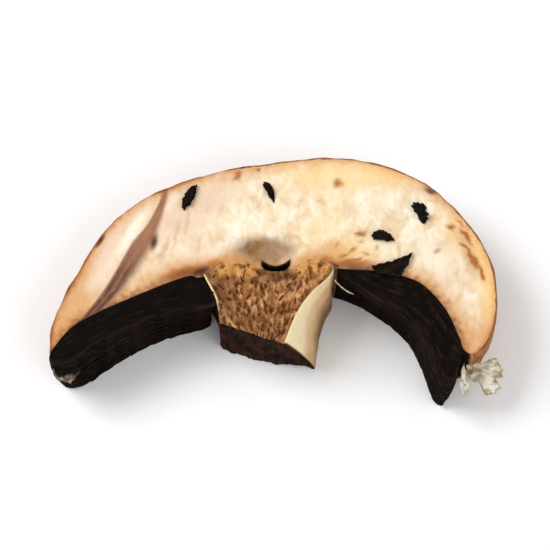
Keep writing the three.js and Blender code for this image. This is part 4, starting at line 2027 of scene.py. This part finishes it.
@dataclass(frozen=True)
class SoilCrumb:
    """A rough crumb of black peat stuck to the cut face.

    Attributes:
        name: the name of its piece.
        at: its middle in millimetres.
        size: its length, width and height.
        turn: the angle of its length from X, in degrees.
        seed: which crumb it is.
        lobes: how far its lumps stand out, in parts of its size.
        bend: how far it bends sideways, in widths, and bends how sharply.
    """

    name: str
    at: tuple[float, float]
    size: Axes
    turn: float
    seed: float
    lobes: float = 0.5
    lumps: Relief = Relief(1.0, 0.8)
    squash: Axes = (1.0, 1.0, 0.6)
    crust: Relief = Relief(0.16, 0.45)
    bend: float = 0.22
    bends: float = 3.0
    stands: float = 0.35
    sunk: float = 0.12
    detail: int = 5

    def build(self, grain: Grain) -> bpy.types.Object:
        """Builds the crumb.

        Args:
            grain: the relief to use.

        Returns:
            The crumb.
        """
        form = bmesh.new()
        bmesh.ops.create_icosphere(form, subdivisions=self.detail, radius=1)
        ball = np.array([vertex.co for vertex in form.verts])
        length, width, height = self.size
        lumps = 1 + grain.relief(ball * self.squash + self.seed, self.lumps) * self.lobes
        crust = grain.relief(ball * self.size + self.seed, self.crust)
        local = ball * lumps[:, None] * self.size / 2 + ball * crust[:, None]
        local[:, 1] += self.bend * width * np.sin(local[:, 0] / length * self.bends + self.seed)
        local[:, 2] = np.maximum(local[:, 2] + height * self.stands, -self.sunk)
        angle = math.radians(self.turn)
        x = self.at[0] + local[:, 0] * math.cos(angle) - local[:, 1] * math.sin(angle)
        y = self.at[1] + local[:, 0] * math.sin(angle) + local[:, 1] * math.cos(angle)
        placed = np.column_stack([x, y, local[:, 2] + SLICE_THICKNESS]) + (*ROW_SHIFT, 0)
        for vertex, place in zip(form.verts, placed * MM):
            vertex.co = place
        mesh = bpy.data.meshes.new(self.name)
        form.to_mesh(mesh)
        form.free()
        mesh.shade_smooth()
        return stood(self.name, mesh)


@dataclass(frozen=True)
class Lamp:
    """A square soft lamp that faces the object.

    Attributes:
        name: its name.
        at: its place in metres.
        size: the length of its side in metres.
        power: its power in watts.
    """

    name: str
    at: Axes
    size: float
    power: float

    def hang(self, target: Vector) -> None:
        """Hangs it, facing the target."""
        light = bpy.data.lights.new(self.name, "AREA")
        light.size = self.size
        light.energy = self.power
        lamp = stood(self.name, light)
        lamp.location = self.at
        lamp.rotation_euler = (target - lamp.location).to_track_quat("-Z", "Y").to_euler()


@dataclass(frozen=True)
class Studio:
    """A pale floor, soft light and the camera.

    Attributes:
        target: the place that the camera looks at, in metres.
        azimuth: how far round the camera stands, in degrees.
        elevation: its angle above the floor, in degrees.
        distance: how far it is from the target, in metres.
        lens: its focal length in millimetres.
        nearest: how near to it things are still seen, in metres.
        floor_size: the length of the floor's side in metres, with its colours and their pattern.
        daylight: how bright the white room is.
    """

    target: Axes = (0.0, 0.0005, 0.007)
    azimuth: float = 0.0
    elevation: float = 70.0
    distance: float = 0.218
    lens: float = 110.0
    nearest: float = 0.01
    floor_size: float = 3.0
    floor_pale: Colour = srgb(250, 250, 250)
    floor_white: Colour = srgb(255, 255, 255)
    floor_cloud: Noise = Noise(40.0, 3.0)
    floor_places: Places = (0.3, 0.7)
    floor_surface: Surface = Surface((0.8, 0.0))
    lamps: tuple[Lamp, ...] = (
        Lamp("key", (-0.3, 0.1, 0.4), 0.25, 1.5),
        Lamp("fill", (0.35, -0.25, 0.35), 0.5, 1.05),
    )
    daylight: float = 0.55

    def floor(self) -> None:
        """Lays the pale floor."""
        mesh = bpy.data.meshes.new("floor")
        half = self.floor_size / 2
        corners = [(-half, -half, 0), (half, -half, 0), (half, half, 0), (-half, half, 0)]
        mesh.from_pydata(corners, [], [(0, 1, 2, 3)])
        f = Finish("pale_floor")
        tone = f.ramp(f.cloud(self.floor_cloud), self.floor_places, self.floor_pale, self.floor_white)
        mesh.materials.append(f.close(tone, 0.0, self.floor_surface))
        stood("floor", mesh)

    def surroundings(self) -> None:
        """Fills the world with white light."""
        world = bpy.data.worlds.new("white_room")
        world.use_nodes = True
        background = world.node_tree.nodes["Background"]
        background.inputs["Color"].default_value = (1.0, 1.0, 1.0, 1.0)
        background.inputs["Strength"].default_value = self.daylight
        bpy.context.scene.world = world

    def camera(self) -> None:
        """Sets up the camera."""
        turn, rise = math.radians(self.azimuth), math.radians(self.elevation)
        away = Vector((math.sin(turn) * math.cos(rise), -math.cos(turn) * math.cos(rise), math.sin(rise)))
        lens = bpy.data.cameras.new("camera")
        lens.lens = self.lens
        lens.clip_start = self.nearest
        camera = stood("camera", lens)
        camera.location = Vector(self.target) + away * self.distance
        camera.rotation_euler = (-away).to_track_quat("-Z", "Y").to_euler()
        bpy.context.scene.camera = camera

    def build(self) -> None:
        """Sets everything up."""
        self.floor()
        for lamp in self.lamps:
            lamp.hang(Vector(self.target))
        self.surroundings()
        self.camera()
        bpy.context.scene.view_settings.view_transform = "Standard"
        log.info("studio: camera %.0f degrees up, %.0f round", self.elevation, self.azimuth)


GILLS = (
    (GillBundle("left_gill_blades", LEFT_GILL_LINE[::-1], LEFT_FREE_EDGE, seed=1.5), "gills_left"),
    (
        GillBundle("right_gill_blades", RIGHT_GILL_LINE, RIGHT_FREE_EDGE, seed=4.2, drawn_in=0.8),
        "gills_right",
    ),
)
BROWNED_VEIL = VeilFinish(
    "browned_veil", pale=srgb(196, 166, 132), grey=srgb(112, 82, 58), brown=srgb(40, 26, 18),
    places=(0.43, 0.55, 0.69),
)
LEFT_SCRAP = VeilScrap(
    "left_veil_scrap", ((-27.9, -1.5), (-27.3, -2.2), (-25.9, -2.4), (-24.4, -1.9)),
    low=7.6, high=8.7, crumple=0.4, tear=1.7,
)
PALE_SCRAPS = (
    (
        VeilMembrane(
            "right_veil_shred",
            upper=((24.6, -0.1), (26.4, 0.5), (28.3, 0.7), (29.8, -0.6)),
            lower=((24.9, -1.0), (25.9, -2.3), (27.1, -3.7), (28.9, -4.2)),
            heights=(6.2, 4.6), crumple=0.5, tear=0.35,
        ),
        "veil_right_shred",
    ),
    (
        VeilMembrane(
            "right_veil_flap",
            upper=((24.1, -0.5), (23.6, -1.8), (23.4, -3.2), (23.8, -4.4)),
            lower=((24.5, -0.5), (25.3, -1.6), (25.1, -3.2), (23.9, -4.5)),
            heights=(8.2, 5.2), crumple=0.25, tear=0.2,
        ),
        "veil_right_flap",
    ),
    (
        VeilScrap(
            "pale_veil_thread", ((7.9, 10.2), (8.4, 9.5), (9.3, 8.7), (10.3, 8.2)),
            low=9.4, high=9.7, crumple=0.1, tear=0.1, thickness=0.16,
        ),
        "veil_thread",
    ),
)
CRUMBS = (
    (SoilCrumb("soil_on_left", (-10.7, 20.9), (3.1, 1.2, 0.8), 62, seed=1.0), "soil_crumb_left"),
    (SoilCrumb("soil_by_crown", (-0.6, 21.7), (2.8, 0.9, 0.7), -60, seed=2.0), "soil_crumb_middle"),
    (SoilCrumb("soil_on_right", (18.9, 18.9), (2.3, 1.7, 1.0), -25, seed=3.0), "soil_crumb_right"),
    (
        SoilCrumb("soil_inside_right", (14.0, 15.3), (2.7, 1.3, 0.9), -4, seed=2.0, lobes=0.35),
        "soil_crumb_inner",
    ),
)


def main() -> None:
    """Builds the slice, its loose bits and the studio."""
    logging.basicConfig(level=logging.INFO, format="%(name)s: %(message)s")
    grain = Grain(GRAIN_SEED)
    settle(CapSlice().build(grain), CapFinish().material(), Slot.CAP_FLESH, "cap_slice")
    settle(StemStub().build(grain), StemFinish().material(), Slot.STEM_FLESH, "stem_stub")
    blades, tree = GillFinish().material(), GillBundle.tree(BladeRule())
    for bundle, node in GILLS:
        settle(bundle.build(tree, blades), blades, Slot.GILLS, node)
    settle(Flake().build(grain), blades, Slot.GILLS, "gill_flake")
    membrane = VeilFinish().material()
    settle(LEFT_SCRAP.build(grain), BROWNED_VEIL.material(), Slot.VEIL, "veil_left")
    for scrap, node in PALE_SCRAPS:
        settle(scrap.build(grain), membrane, Slot.VEIL, node)
    peat = SoilFinish().material()
    for crumb, node in CRUMBS:
        settle(crumb.build(grain), peat, Slot.SOIL, node)
    Studio().build()


if __name__ == "__main__":
    main()
